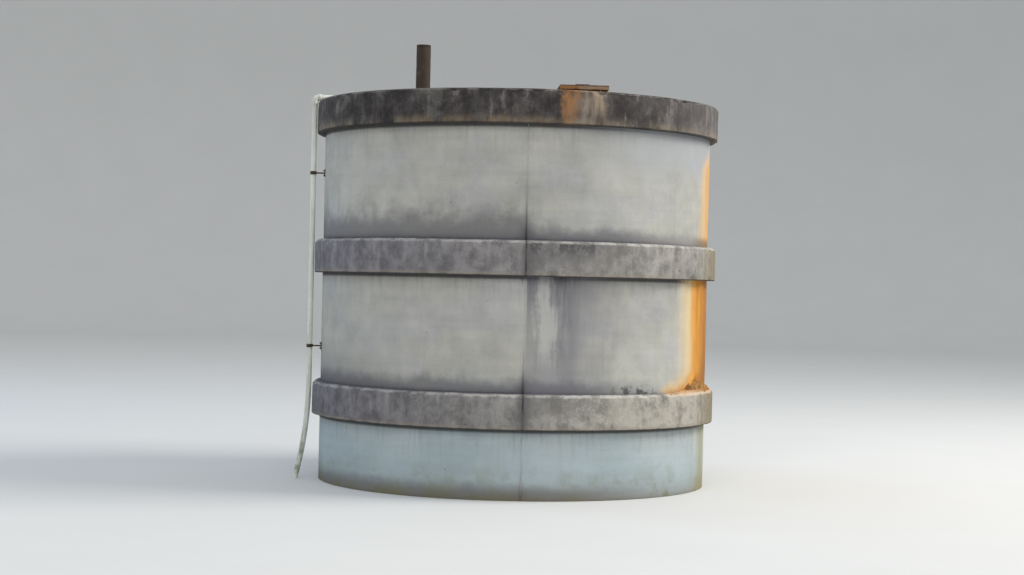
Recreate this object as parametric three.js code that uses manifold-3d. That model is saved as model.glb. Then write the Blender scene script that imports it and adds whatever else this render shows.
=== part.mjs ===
// Cylindrical concrete water storage tank that stands on the ground.
// Millimetres, +Z up. The origin is on the tank's axis at ground level.
// Azimuths run in degrees from the front (-Y) towards the right (+X).
import * as THREE from 'three';
import { mergeVertices } from 'three/addons/utils/BufferGeometryUtils.js';
import Module from 'manifold-3d';

const wasm = await Module();
wasm.setup();

// Shell
const WALL_RADIUS = 1525;
const WALL_THICKNESS = 125;
const FLOOR_THICKNESS = 150;
const SEAM_CHAMFER = 9;
const RING_FACETS = 96;

// Heights, each from the ground
const LOWER_BAND_BASE = 510;
const MIDDLE_BAND_BASE = 1616;
const RIM_BASE = 2710;
const LID_TOP = 2960;

// Bands and lid
const BAND_HEIGHT = 260;
const BAND_PROJECTION = 63;
const BAND_TOP_CHAMFER = 24;
const BAND_BOTTOM_CHAMFER = 6;
const LID_THICKNESS = 125;
const RIM_CHAMFER = 12;

// Steel vent pipe, 4 inch
const VENT_OUTER_RADIUS = 57.15;
const VENT_INNER_RADIUS = 51.1;
const VENT_OFFSET_X = -765;
const VENT_HEIGHT_OVER_LID = 480;

// Access hatch, its sides parallel to X and Y
const HATCH_CENTRE = [415, -1120];
const HATCH_OPENING = 310;
const HATCH_FRAME_THICKNESS = 6;
const HATCH_FRAME_HEIGHT = 58;
const HATCH_FLANGE_WIDTH = 40;
const HATCH_COVER_SIZE = 360;
const HATCH_COVER_THICKNESS = 5;
const HATCH_SKIRT_DEPTH = 28;
const HANDLE_SPAN = 110;
const HANDLE_HEIGHT = 24;
const HANDLE_ROD_RADIUS = 5;

// Plastic fill pipe, 1 1/4 inch
const PIPE_RADIUS = 21.1;
const ELBOW_RADIUS = 26;
const ELBOW_BEND_RADIUS = 40;
const PIPE_STANDOFF = 1.5;
const PIPE_FOOT_KICK = 105;
const PIPE_FOOT_BEND_HEIGHT = 340;
const PIPE_FOOT_TOP = 760;
const PIPE_DROP_RADIUS = 1350;
const PIPE_DROP_BELOW_LID = 250;
const PIPE_HOLE_RADIUS = 40;
const BRACKET_HEIGHTS = { pipe_bracket_lower: 1040, pipe_bracket_upper: 2395 };
const BRACKET_PLATE = 60;
const BRACKET_PLATE_THICKNESS = 5;
const BRACKET_STEM_RADIUS = 6;
const BRACKET_RING_THICKNESS = 4;
const BRACKET_RING_HEIGHT = 25;

// Clearance between pieces that are cast or cut against each other
const GAP = 0.3;

// Sizes that follow from the ones above
const WALL_INNER_RADIUS = WALL_RADIUS - WALL_THICKNESS;
const BAND_RADIUS = WALL_RADIUS + BAND_PROJECTION;
const WALL_TOP = LID_TOP - LID_THICKNESS;
const FACET_ANGLE = 360 / RING_FACETS;
const FACET_SHORTENING = Math.cos(THREE.MathUtils.degToRad(FACET_ANGLE / 2));
const PIPE_AZIMUTH = -22.5 * FACET_ANGLE;
const PIPE_ORBIT = BAND_RADIUS + ELBOW_RADIUS + PIPE_STANDOFF;
const PIPE_RUN_HEIGHT = LID_TOP + ELBOW_RADIUS + 1;

const LIFTS = [
  { name: 'wall_bottom', base: 0, top: LOWER_BAND_BASE + BAND_HEIGHT / 2 },
  {
    name: 'wall_middle',
    base: LOWER_BAND_BASE + BAND_HEIGHT / 2,
    top: MIDDLE_BAND_BASE + BAND_HEIGHT / 2,
  },
  { name: 'wall_top', base: MIDDLE_BAND_BASE + BAND_HEIGHT / 2, top: WALL_TOP },
];
const BANDS = [
  { name: 'band_lower', base: LOWER_BAND_BASE },
  { name: 'band_middle', base: MIDDLE_BAND_BASE },
];
const QUARTERS = ['front_right', 'back_right', 'back_left', 'front_left'];

const CONCRETE = new THREE.MeshStandardMaterial({ color: 0x9e9d98, roughness: 0.9, metalness: 0 });
const BAND_CONCRETE = new THREE.MeshStandardMaterial({
  color: 0x837e7b,
  roughness: 0.92,
  metalness: 0,
});
const LID_CONCRETE = new THREE.MeshStandardMaterial({
  color: 0x504c49,
  roughness: 0.95,
  metalness: 0,
});
const RUSTY_STEEL = new THREE.MeshStandardMaterial({
  color: 0x6e452b,
  roughness: 0.85,
  metalness: 0.3,
});
const PLASTIC = new THREE.MeshStandardMaterial({ color: 0xc3c9bd, roughness: 0.5, metalness: 0 });

// A closed geometry as a solid that can be joined and cut.
function toSolid(geometry) {
  const bare = geometry.clone();
  bare.deleteAttribute('normal');
  bare.deleteAttribute('uv');
  const merged = mergeVertices(bare, 1e-3);
  return new wasm.Manifold(
    new wasm.Mesh({
      numProp: 3,
      vertProperties: new Float32Array(merged.attributes.position.array),
      triVerts: new Uint32Array(merged.index.array),
    })
  );
}

// A solid as a geometry that a mesh can hold.
function toGeometry(solid) {
  const mesh = solid.getMesh();
  const geometry = new THREE.BufferGeometry();
  geometry.setAttribute('position', new THREE.BufferAttribute(mesh.vertProperties, mesh.numProp));
  geometry.setIndex(new THREE.BufferAttribute(mesh.triVerts, 1));
  geometry.computeVertexNormals();
  return geometry;
}

function namedMesh(name, geometry, material) {
  const mesh = new THREE.Mesh(geometry, material);
  mesh.name = name;
  return mesh;
}

// A round form about the tank's axis, from [radius, height] pairs that start and end on the
// axis or close on themselves. Its first facet edge is at the front.
function turned(outline) {
  const points = outline.map(([radius, height]) => new THREE.Vector2(radius, height));
  return new THREE.LatheGeometry(points, RING_FACETS).rotateX(Math.PI / 2);
}

// A flat outline of [x, y] pairs raised along Z from base by height.
function raised(outline, base, height) {
  const shape = new THREE.Shape(outline.map(([x, y]) => new THREE.Vector2(x, y)));
  const geometry = new THREE.ExtrudeGeometry(shape, { depth: height, bevelEnabled: false });
  return geometry.translate(0, 0, base);
}

function raisedSquare(size, base, height) {
  const half = size / 2;
  const corners = [[-half, -half], [half, -half], [half, half], [-half, half]];
  return raised(corners, base, height);
}

// An upright round bar of an even number of facets, or a tube where an inner radius is given.
function uprightRound(radius, base, height, facets, innerRadius = 0) {
  const shape = new THREE.Shape().absarc(0, 0, radius, 0, 2 * Math.PI, false);
  if (innerRadius > 0) {
    shape.holes.push(new THREE.Path().absarc(0, 0, innerRadius, 0, 2 * Math.PI, true));
  }
  const options = { depth: height, bevelEnabled: false, curveSegments: facets / 2 };
  return new THREE.ExtrudeGeometry(shape, options).translate(0, 0, base);
}

// A round bar along a curve. A full arc takes two facets for each of its curve segments.
function bar(radius, curve, steps, facets = 16) {
  const section = new THREE.Shape().absarc(0, 0, radius, 0, 2 * Math.PI, false);
  return new THREE.ExtrudeGeometry(section, {
    steps,
    curveSegments: facets / 2,
    extrudePath: curve,
    bevelEnabled: false,
  });
}

// Plan of a quarter of a ring, from the front seam to the right one, turned by the mesh.
// Both seam edges are chamfered at the outer face, so two quarters leave a V-shaped joint.
function quarterPlan(outerRadius) {
  const seam = GAP / 2;
  const beyond = outerRadius + 50;
  const flare = seam + SEAM_CHAMFER + 50;
  const groove = outerRadius - SEAM_CHAMFER;
  return [
    [seam, -seam],
    [seam, -groove],
    [flare, -beyond],
    [beyond, -beyond],
    [beyond, -flare],
    [groove, -seam],
  ];
}

// The four quarters of a ring, each a mesh of its own.
function quarterMeshes(name, outline, outerRadius, material) {
  const heights = outline.map(([, height]) => height);
  const low = Math.min(...heights) - 10;
  const high = Math.max(...heights) + 10;
  const plan = toSolid(raised(quarterPlan(outerRadius), low, high - low));
  const quarter = toGeometry(toSolid(turned(outline)).intersect(plan));
  return QUARTERS.map((side, index) => {
    const mesh = namedMesh(`${name}_${side}`, quarter, material);
    mesh.rotation.z = (index * Math.PI) / 2;
    return mesh;
  });
}

function wallLift({ name, base, top }) {
  const outline = [
    [WALL_INNER_RADIUS, base],
    [WALL_RADIUS, base],
    [WALL_RADIUS, top],
    [WALL_INNER_RADIUS, top],
    [WALL_INNER_RADIUS, base],
  ];
  return quarterMeshes(name, outline, WALL_RADIUS, CONCRETE);
}

function band({ name, base }) {
  const inner = WALL_RADIUS + GAP;
  const top = base + BAND_HEIGHT;
  const outline = [
    [inner, base],
    [BAND_RADIUS - BAND_BOTTOM_CHAMFER, base],
    [BAND_RADIUS, base + BAND_BOTTOM_CHAMFER],
    [BAND_RADIUS, top - BAND_TOP_CHAMFER],
    [BAND_RADIUS - BAND_TOP_CHAMFER, top],
    [inner, top],
    [inner, base],
  ];
  return quarterMeshes(name, outline, BAND_RADIUS, BAND_CONCRETE);
}

function floorSlab() {
  const radius = WALL_INNER_RADIUS - GAP;
  const outline = [[0, 0], [radius, 0], [radius, FLOOR_THICKNESS], [0, FLOOR_THICKNESS]];
  return namedMesh('floor_slab', turned(outline), CONCRETE);
}

// One casting: a flat slab on the wall, with a rim that hangs down round it.
function roofLid() {
  const collar = WALL_RADIUS + GAP;
  const outline = [
    [0, WALL_TOP],
    [collar, WALL_TOP],
    [collar, RIM_BASE],
    [BAND_RADIUS - BAND_BOTTOM_CHAMFER, RIM_BASE],
    [BAND_RADIUS, RIM_BASE + BAND_BOTTOM_CHAMFER],
    [BAND_RADIUS, LID_TOP - RIM_CHAMFER],
    [BAND_RADIUS - RIM_CHAMFER, LID_TOP],
    [0, LID_TOP],
  ];
  const cutBase = WALL_TOP - 10;
  const cutHeight = LID_THICKNESS + 20;
  const ventHole = uprightRound(VENT_OUTER_RADIUS + GAP, cutBase, cutHeight, 32);
  const pipeHole = uprightRound(PIPE_HOLE_RADIUS, cutBase, cutHeight, 16)
    .translate(0, -PIPE_DROP_RADIUS, 0)
    .rotateZ(THREE.MathUtils.degToRad(PIPE_AZIMUTH));
  const hatchHole = raisedSquare(HATCH_OPENING, cutBase, cutHeight);
  const solid = toSolid(turned(outline))
    .subtract(toSolid(ventHole.translate(VENT_OFFSET_X, 0, 0)))
    .subtract(toSolid(pipeHole))
    .subtract(toSolid(hatchHole.translate(...HATCH_CENTRE, 0)));
  return namedMesh('roof_lid', toGeometry(solid), LID_CONCRETE);
}

function ventPipe() {
  const height = LID_THICKNESS + VENT_HEIGHT_OVER_LID;
  const tube = uprightRound(VENT_OUTER_RADIUS, 0, height, 32, VENT_INNER_RADIUS);
  const mesh = namedMesh('vent_pipe', tube, RUSTY_STEEL);
  mesh.position.set(VENT_OFFSET_X, 0, WALL_TOP);
  return mesh;
}

// Angle-iron frame round the hatch opening: a flange on the lid and an upstand.
function hatchFrame() {
  const upstand = HATCH_OPENING + 2 * HATCH_FRAME_THICKNESS;
  const flange = upstand + 2 * HATCH_FLANGE_WIDTH;
  const solid = toSolid(raisedSquare(flange, 0, HATCH_FRAME_THICKNESS))
    .add(toSolid(raisedSquare(upstand, 0, HATCH_FRAME_HEIGHT)))
    .subtract(toSolid(raisedSquare(HATCH_OPENING, -1, HATCH_FRAME_HEIGHT + 2)));
  return namedMesh('hatch_frame', toGeometry(solid), RUSTY_STEEL);
}

// Folded sheet cover that sits over the frame, with a skirt on all four sides.
function hatchCover() {
  const base = HATCH_FRAME_HEIGHT + GAP;
  const hollow = HATCH_COVER_SIZE - 2 * HATCH_COVER_THICKNESS;
  const bottom = base - HATCH_SKIRT_DEPTH;
  const height = HATCH_SKIRT_DEPTH + HATCH_COVER_THICKNESS;
  const solid = toSolid(raisedSquare(HATCH_COVER_SIZE, bottom, height))
    .subtract(toSolid(raisedSquare(hollow, bottom - 1, HATCH_SKIRT_DEPTH + 1)));
  return namedMesh('hatch_cover', toGeometry(solid), RUSTY_STEEL);
}

// Bent rod handle, welded on the cover.
function hatchHandle() {
  const foot = HATCH_FRAME_HEIGHT + HATCH_COVER_THICKNESS + 2 * GAP;
  const crown = foot + HANDLE_HEIGHT - HANDLE_ROD_RADIUS;
  const half = HANDLE_SPAN / 2;
  const bend = 2.5 * HANDLE_ROD_RADIUS;
  const at = (x, z) => new THREE.Vector3(x, 0, z);
  const route = new THREE.CurvePath();
  route.add(new THREE.LineCurve3(at(-half, foot), at(-half, crown - bend)));
  route.add(
    new THREE.QuadraticBezierCurve3(at(-half, crown - bend), at(-half, crown), at(bend - half, crown))
  );
  route.add(new THREE.LineCurve3(at(bend - half, crown), at(half - bend, crown)));
  route.add(
    new THREE.QuadraticBezierCurve3(at(half - bend, crown), at(half, crown), at(half, crown - bend))
  );
  route.add(new THREE.LineCurve3(at(half, crown - bend), at(half, foot)));
  const above = toSolid(raisedSquare(2 * HANDLE_SPAN, foot, 2 * HANDLE_HEIGHT));
  const solid = toSolid(bar(HANDLE_ROD_RADIUS, route, 36, 10)).intersect(above);
  return namedMesh('hatch_handle', toGeometry(solid), RUSTY_STEEL);
}

function hatch() {
  const group = new THREE.Group();
  group.position.set(...HATCH_CENTRE, LID_TOP);
  group.add(hatchFrame(), hatchCover(), hatchHandle());
  return group;
}

// A point in the plane of the fill pipe, from its distance to the tank's axis and its height.
function pipePoint(radius, height) {
  return new THREE.Vector3(0, -radius, height);
}

function straightPipe(name, from, to) {
  return namedMesh(name, bar(PIPE_RADIUS, new THREE.LineCurve3(from, to), 1), PLASTIC);
}

// A quarter bend from below or from the side, between two points one bend radius apart.
function elbow(name, from, corner, to) {
  const curve = new THREE.QuadraticBezierCurve3(from, corner, to);
  return namedMesh(name, bar(ELBOW_RADIUS, curve, 8), PLASTIC);
}

// The riser bends outwards at its foot and is cut off level with the ground.
function riser() {
  const below = 40;
  const kick = PIPE_ORBIT + PIPE_FOOT_KICK;
  const end = PIPE_RUN_HEIGHT - ELBOW_BEND_RADIUS - GAP;
  const route = new THREE.CurvePath();
  route.add(
    new THREE.QuadraticBezierCurve3(
      pipePoint(kick, -below),
      pipePoint(PIPE_ORBIT, PIPE_FOOT_BEND_HEIGHT),
      pipePoint(PIPE_ORBIT, PIPE_FOOT_TOP)
    )
  );
  route.add(new THREE.LineCurve3(pipePoint(PIPE_ORBIT, PIPE_FOOT_TOP), pipePoint(PIPE_ORBIT, end)));
  const above = toSolid(raisedSquare(3 * PIPE_ORBIT, 0, LID_TOP + 500));
  const solid = toSolid(bar(PIPE_RADIUS, route, 30)).intersect(above);
  return namedMesh('fill_pipe_riser', toGeometry(solid), PLASTIC);
}

// Stand-off bracket: a plate on the wall, a stem, and a ring round the riser.
function bracket(name, height) {
  const face = WALL_RADIUS * FACET_SHORTENING + GAP;
  const inner = PIPE_RADIUS + GAP;
  const outer = inner + BRACKET_RING_THICKNESS;
  const half = BRACKET_PLATE / 2;
  const plate = new THREE.BoxGeometry(BRACKET_PLATE, BRACKET_PLATE_THICKNESS, BRACKET_PLATE);
  plate.translate(0, -face - BRACKET_PLATE_THICKNESS / 2, 0);
  const stemLine = new THREE.LineCurve3(
    pipePoint(face + BRACKET_PLATE_THICKNESS / 2, 0),
    pipePoint(PIPE_ORBIT - inner - BRACKET_RING_THICKNESS / 2, 0)
  );
  const ringBase = -BRACKET_RING_HEIGHT / 2;
  const ring = uprightRound(outer, ringBase, BRACKET_RING_HEIGHT, 24);
  const hole = uprightRound(inner, -half, BRACKET_PLATE, 24);
  const solid = toSolid(plate)
    .add(toSolid(bar(BRACKET_STEM_RADIUS, stemLine, 1, 12)))
    .add(toSolid(ring.translate(0, -PIPE_ORBIT, 0)))
    .subtract(toSolid(hole.translate(0, -PIPE_ORBIT, 0)));
  const mesh = namedMesh(name, toGeometry(solid), RUSTY_STEEL);
  mesh.position.z = height;
  return mesh;
}

function fillPipe() {
  const group = new THREE.Group();
  group.rotation.z = THREE.MathUtils.degToRad(PIPE_AZIMUTH);
  const bend = ELBOW_BEND_RADIUS;
  const run = PIPE_RUN_HEIGHT;
  const runOuter = PIPE_ORBIT - bend;
  const runInner = PIPE_DROP_RADIUS + bend;
  group.add(
    riser(),
    elbow(
      'fill_pipe_top_elbow',
      pipePoint(PIPE_ORBIT, run - bend),
      pipePoint(PIPE_ORBIT, run),
      pipePoint(runOuter, run)
    ),
    straightPipe('fill_pipe_run', pipePoint(runOuter - GAP, run), pipePoint(runInner + GAP, run)),
    elbow(
      'fill_pipe_drop_elbow',
      pipePoint(runInner, run),
      pipePoint(PIPE_DROP_RADIUS, run),
      pipePoint(PIPE_DROP_RADIUS, run - bend)
    ),
    straightPipe(
      'fill_pipe_drop',
      pipePoint(PIPE_DROP_RADIUS, run - bend - GAP),
      pipePoint(PIPE_DROP_RADIUS, WALL_TOP - PIPE_DROP_BELOW_LID)
    ),
    ...Object.entries(BRACKET_HEIGHTS).map(([name, height]) => bracket(name, height))
  );
  return group;
}

const tank = new THREE.Group();
tank.add(
  ...LIFTS.flatMap(wallLift),
  ...BANDS.flatMap(band),
  floorSlab(),
  roofLid(),
  ventPipe(),
  hatch(),
  fillPipe()
);

export default tank;
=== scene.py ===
"""Weathered concrete water storage tank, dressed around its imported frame.

Metres, +Z up. The origin is on the tank's axis at ground level, and azimuths run in degrees
from the front (-Y) towards the right (+X).
"""

import math
from functools import cached_property

import bmesh
import bpy
import numpy as np
from bpy.props import FloatProperty, FloatVectorProperty, IntProperty, PointerProperty
from bpy.types import Operator, Panel, PropertyGroup
from mathutils import Matrix, Vector
from mathutils.geometry import delaunay_2d_cdt


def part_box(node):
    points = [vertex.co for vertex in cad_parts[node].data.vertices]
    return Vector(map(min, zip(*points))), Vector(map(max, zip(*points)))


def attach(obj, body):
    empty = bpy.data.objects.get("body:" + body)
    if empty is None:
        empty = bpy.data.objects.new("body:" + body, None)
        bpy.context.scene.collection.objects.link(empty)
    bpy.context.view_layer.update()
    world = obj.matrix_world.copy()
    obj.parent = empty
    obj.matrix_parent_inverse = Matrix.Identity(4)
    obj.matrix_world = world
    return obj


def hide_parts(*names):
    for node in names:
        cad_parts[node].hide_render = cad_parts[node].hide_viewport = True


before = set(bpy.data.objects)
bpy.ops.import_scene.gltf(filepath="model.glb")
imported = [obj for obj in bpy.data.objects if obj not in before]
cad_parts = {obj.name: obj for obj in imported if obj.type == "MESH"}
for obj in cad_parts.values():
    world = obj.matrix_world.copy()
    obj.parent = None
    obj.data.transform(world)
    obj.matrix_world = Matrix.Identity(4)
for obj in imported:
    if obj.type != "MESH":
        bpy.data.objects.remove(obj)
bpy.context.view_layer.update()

bl_info = {
    "name": "Concrete Water Tank",
    "version": (1, 0, 0),
    "blender": (4, 5, 0),
    "location": "3D View > Sidebar > Tank",
    "description": "Dresses the frame of a weathered concrete water storage tank",
    "category": "Add Mesh",
}

QUARTERS = ("front_right", "back_right", "back_left", "front_left")
BANDS = ("band_lower", "band_middle")


def reach(node):
    """Smallest and largest distance of a node's corners from the tank's axis."""
    distances = [math.hypot(v.co.x, v.co.y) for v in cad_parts[node].data.vertices]
    return min(distances), max(distances)


def heights(node):
    low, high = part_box(node)
    return low.z, high.z


def middle(node):
    low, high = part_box(node)
    return (low + high) / 2


WALL_INNER, WALL_RADIUS = reach("wall_top_front_right")
BAND_INNER, BAND_RADIUS = reach("band_middle_front_right")
RIM_BASE, LID_TOP = heights("roof_lid")
WALL_TOP = heights("wall_top_front_right")[1]
LOWER_BAND = heights("band_lower_front_right")
MIDDLE_BAND = heights("band_middle_front_right")
SEAM_GAP = 0.00015

VENT = middle("vent_pipe")
VENT_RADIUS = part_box("vent_pipe")[1].x - VENT.x
VENT_HOLE = VENT_RADIUS + 0.0004
HATCH = middle("hatch_frame")
HATCH_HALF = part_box("hatch_frame")[1].x - HATCH.x
HATCH_FLANGE = 0.046
HATCH_OPENING = HATCH_HALF - HATCH_FLANGE
COVER_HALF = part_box("hatch_cover")[1].x - HATCH.x

DROP = middle("fill_pipe_drop")
DROP_RADIUS = math.hypot(DROP.x, DROP.y)
DROP_HOLE = 0.04
PIPE_AZIMUTH = math.atan2(DROP.x, -DROP.y)
PIPE_ACROSS = (math.cos(PIPE_AZIMUTH), math.sin(PIPE_AZIMUTH), 0.0)


def length(name, description, default):
    return FloatProperty(name=name, description=description, default=default, unit="LENGTH")


def tint(name, description, red, green, blue):
    default = (red, green, blue, 1.0)
    return FloatVectorProperty(name=name, description=description, default=default, subtype="COLOR", size=4)


class TankSizes(PropertyGroup):
    """Sizes that aren't read from the frame."""

    wall_step: length("Wall step", "Spacing of the mesh on the walls", 0.015)
    band_step: length("Band step", "Spacing of the mesh on the bands and the rim", 0.0105)
    wall_chamfer: length("Wall joint chamfer", "Chamfer at each side of a wall joint", 0.0016)
    joint_chamfer: length("Band joint chamfer", "Chamfer at each side of a band joint", 0.006)
    band_chamfer: length("Band chamfer", "Chamfer along the top of a band", 0.024)
    rim_chamfer: length("Rim chamfer", "Chamfer along the top of the lid's rim", 0.012)
    arris: length("Arris", "Worn edge along the underside of bands and rim", 0.006)
    relief: length("Relief", "Depth of the unevenness of the cast faces", 0.0028)
    chip_depth: length("Chip depth", "Depth of the chips along edges of bands and rim", 0.012)
    pipe_radius: length("Pipe radius", "Outer radius of the fill pipe", 0.021)
    socket_radius: length("Socket radius", "Outer radius of the elbows' sockets", 0.026)
    pipe_orbit: length("Pipe orbit", "Distance of the upright pipe from the axis", 1.6155)
    pipe_run_height: length("Pipe run height", "Height of the level pipe over the lid", 2.987)
    elbow_bend: length("Elbow bend", "Length of each leg of an elbow", 0.04)
    foot_kick: length("Foot kick", "How far the foot of the pipe bends out", 0.105)
    foot_bend: length("Foot bend", "Height of the bend at the pipe's foot", 0.34)
    foot_top: length("Foot top", "Height from which the pipe is upright", 0.76)
    seed: IntProperty(name="Seed", description="Seed of all unevenness", default=7)


class TankColours(PropertyGroup):
    """Colours of the finishes, as reflected light from 0 to 1."""

    wall: tint("Wall", "Cast concrete of the walls", 0.435, 0.428, 0.39)
    wall_lilac: tint("Lilac wall", "Damp patches on the walls", 0.395, 0.392, 0.405)
    # Its blue tint is a painted sky reflection on the cleaner concrete near the ground.
    wall_cool: tint("Cool wall", "Bluish concrete near the ground", 0.424, 0.51, 0.545)
    wall_grey: tint("Grey wall", "Dark run beside the front joint", 0.165, 0.16, 0.19)
    # Painted shade: the cool tint of the wall in shade below the lid's rim.
    wall_painted_shade: tint("Damp wall", "Damp patch under the lid", 0.355, 0.375, 0.405)
    wall_olive: tint("Olive wall", "Stain of the leak near the ground", 0.33, 0.29, 0.12)
    growth: tint("Growth", "Dark growth over a ledge", 0.11, 0.106, 0.122)
    # Also laid as painted shade on and under the undersides of the bands and the rim.
    soil_and_shade: tint("Soil", "Black dirt in joints and pits", 0.035, 0.033, 0.034)
    splash: tint("Splash", "Soil splashed up from the ground", 0.19, 0.16, 0.115)
    moss: tint("Moss", "Greenish dirt on the pipe and near the ground", 0.17, 0.18, 0.1)
    # Also laid as a painted highlight along the bands' top chamfers.
    lime: tint("Lime", "Pale lime and worn edges", 0.56, 0.55, 0.52)
    tan: tint("Tan", "Brownish drip edges", 0.3, 0.25, 0.18)
    band: tint("Band", "Concrete of the bands", 0.32, 0.304, 0.28)
    band_dark: tint("Dark band", "Growth on the bands", 0.163, 0.155, 0.168)
    band_pale: tint("Pale band", "Bare patches of the lower band", 0.46, 0.43, 0.365)
    band_olive: tint("Olive band", "Growth on the bands at the leak", 0.21, 0.175, 0.105)
    band_peach: tint("Peach band", "Wash on the lower band's ledge", 0.58, 0.46, 0.33)
    rim: tint("Rim", "Dark growth on the rim", 0.064, 0.056, 0.055)
    rim_pale: tint("Pale rim", "Bare concrete on the rim", 0.23, 0.215, 0.195)
    rim_brown: tint("Brown rim", "Dried dirt below the hatch", 0.3, 0.235, 0.17)
    rim_rust: tint("Rusty rim", "Rust run below the hatch", 0.33, 0.16, 0.058)
    deck_dull: tint("Dull deck", "Dirtier concrete of the lid's top", 0.135, 0.128, 0.115)
    deck_clean: tint("Clean deck", "Cleaner concrete of the lid's top", 0.225, 0.22, 0.2)
    deck_pool: tint("Pool", "Dried puddles on the lid", 0.1, 0.09, 0.075)
    deck_litter: tint("Litter", "Rotten litter along the lid's edge", 0.075, 0.062, 0.045)
    deck_rust: tint("Rusty deck", "Rust washed over the lid", 0.3, 0.15, 0.065)
    lichen: tint("Lichen", "Lichen on the lid", 0.4, 0.4, 0.33)
    leak: tint("Leak", "Iron stain below the leaking joint", 0.53, 0.21, 0.022)
    leak_bright: tint("Bright leak", "Fresh edge of the stain", 0.68, 0.295, 0.036)
    leak_dark: tint("Dark leak", "Thick iron stain", 0.3, 0.11, 0.018)
    leak_halo: tint("Leak halo", "Pale edge of the iron stain", 0.76, 0.57, 0.28)
    leak_foot: tint("Leak foot", "Dirty foot of the upper stain", 0.15, 0.105, 0.075)
    crust_dark: tint("Dark crust", "Hollows of the leak's crust", 0.13, 0.06, 0.03)
    crust_pale: tint("Pale crust", "Thin end of the leak's crust", 0.58, 0.45, 0.32)
    heap: tint("Heap", "Lumps of the heap below the leak", 0.36, 0.2, 0.062)
    heap_dark: tint("Dark heap", "Hollows of that heap", 0.15, 0.068, 0.022)
    rust: tint("Rust", "Old rust on steel", 0.058, 0.038, 0.026)
    rust_bright: tint("Bright rust", "Fresh rust on steel", 0.13, 0.066, 0.034)
    rust_runs: tint("Rust runs", "Dark runs on steel", 0.045, 0.03, 0.026)
    rust_scale: tint("Scale", "Flaking scale on steel", 0.035, 0.027, 0.025)
    cake_rust: tint("Rust cake", "Fresh rust on the hatch's front", 0.31, 0.149, 0.045)
    cake_dirt: tint("Dirt cake", "Dried dirt on the hatch's front", 0.34, 0.234, 0.151)
    plastic: tint("Plastic", "Sun-bleached plastic pipe", 0.74, 0.76, 0.69)
    plastic_dust: tint("Dust", "Dusty runs on the pipe", 0.3, 0.29, 0.23)
    plastic_specks: tint("Specks", "Dark specks on the pipe", 0.12, 0.115, 0.09)


def sizes():
    return bpy.context.scene.tank_sizes


def colours():
    return bpy.context.scene.tank_colours


class Socket:
    """What a shader socket gives, with Python's arithmetic on it."""

    def __init__(self, sheet, output):
        self.sheet = sheet
        self.output = output

    def math(self, operation, *others):
        return self.sheet.math(operation, self, *others)

    def __add__(self, other):
        return self.math("ADD", other)

    __radd__ = __add__

    def __sub__(self, other):
        return self.math("SUBTRACT", other)

    def __rsub__(self, other):
        return self.sheet.math("SUBTRACT", other, self)

    def __mul__(self, other):
        return self.math("MULTIPLY", other)

    __rmul__ = __mul__

    def __truediv__(self, other):
        return self.math("DIVIDE", other)

    def __pow__(self, other):
        return self.math("POWER", other)

    def __abs__(self):
        return self.math("ABSOLUTE")

    def sibling(self, name):
        """Another output of the same node."""
        return Socket(self.sheet, self.output.node.outputs[name])

    def ease(self, low, high):
        """0 at low and 1 at high, with a soft start and end. low may be above high."""
        sockets = {"Value": self, "From Min": low, "From Max": high}
        return self.sheet.node("MapRange", {"interpolation_type": "SMOOTHSTEP"}, sockets)

    def span(self, start, end, soft):
        """1 between start and end, easing to 0 over twice soft at both."""
        return self.ease(start - soft, start + soft) * self.ease(end + soft, end - soft)

    def fading(self, distance):
        """1 at 0, falling to about a third at each further distance."""
        return (self / (0 - distance)).math("EXPONENT")

    def swayed(self, amount, noise):
        """This moved up and down by a noise about 0.5."""
        return self + amount * (noise - 0.5)


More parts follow.
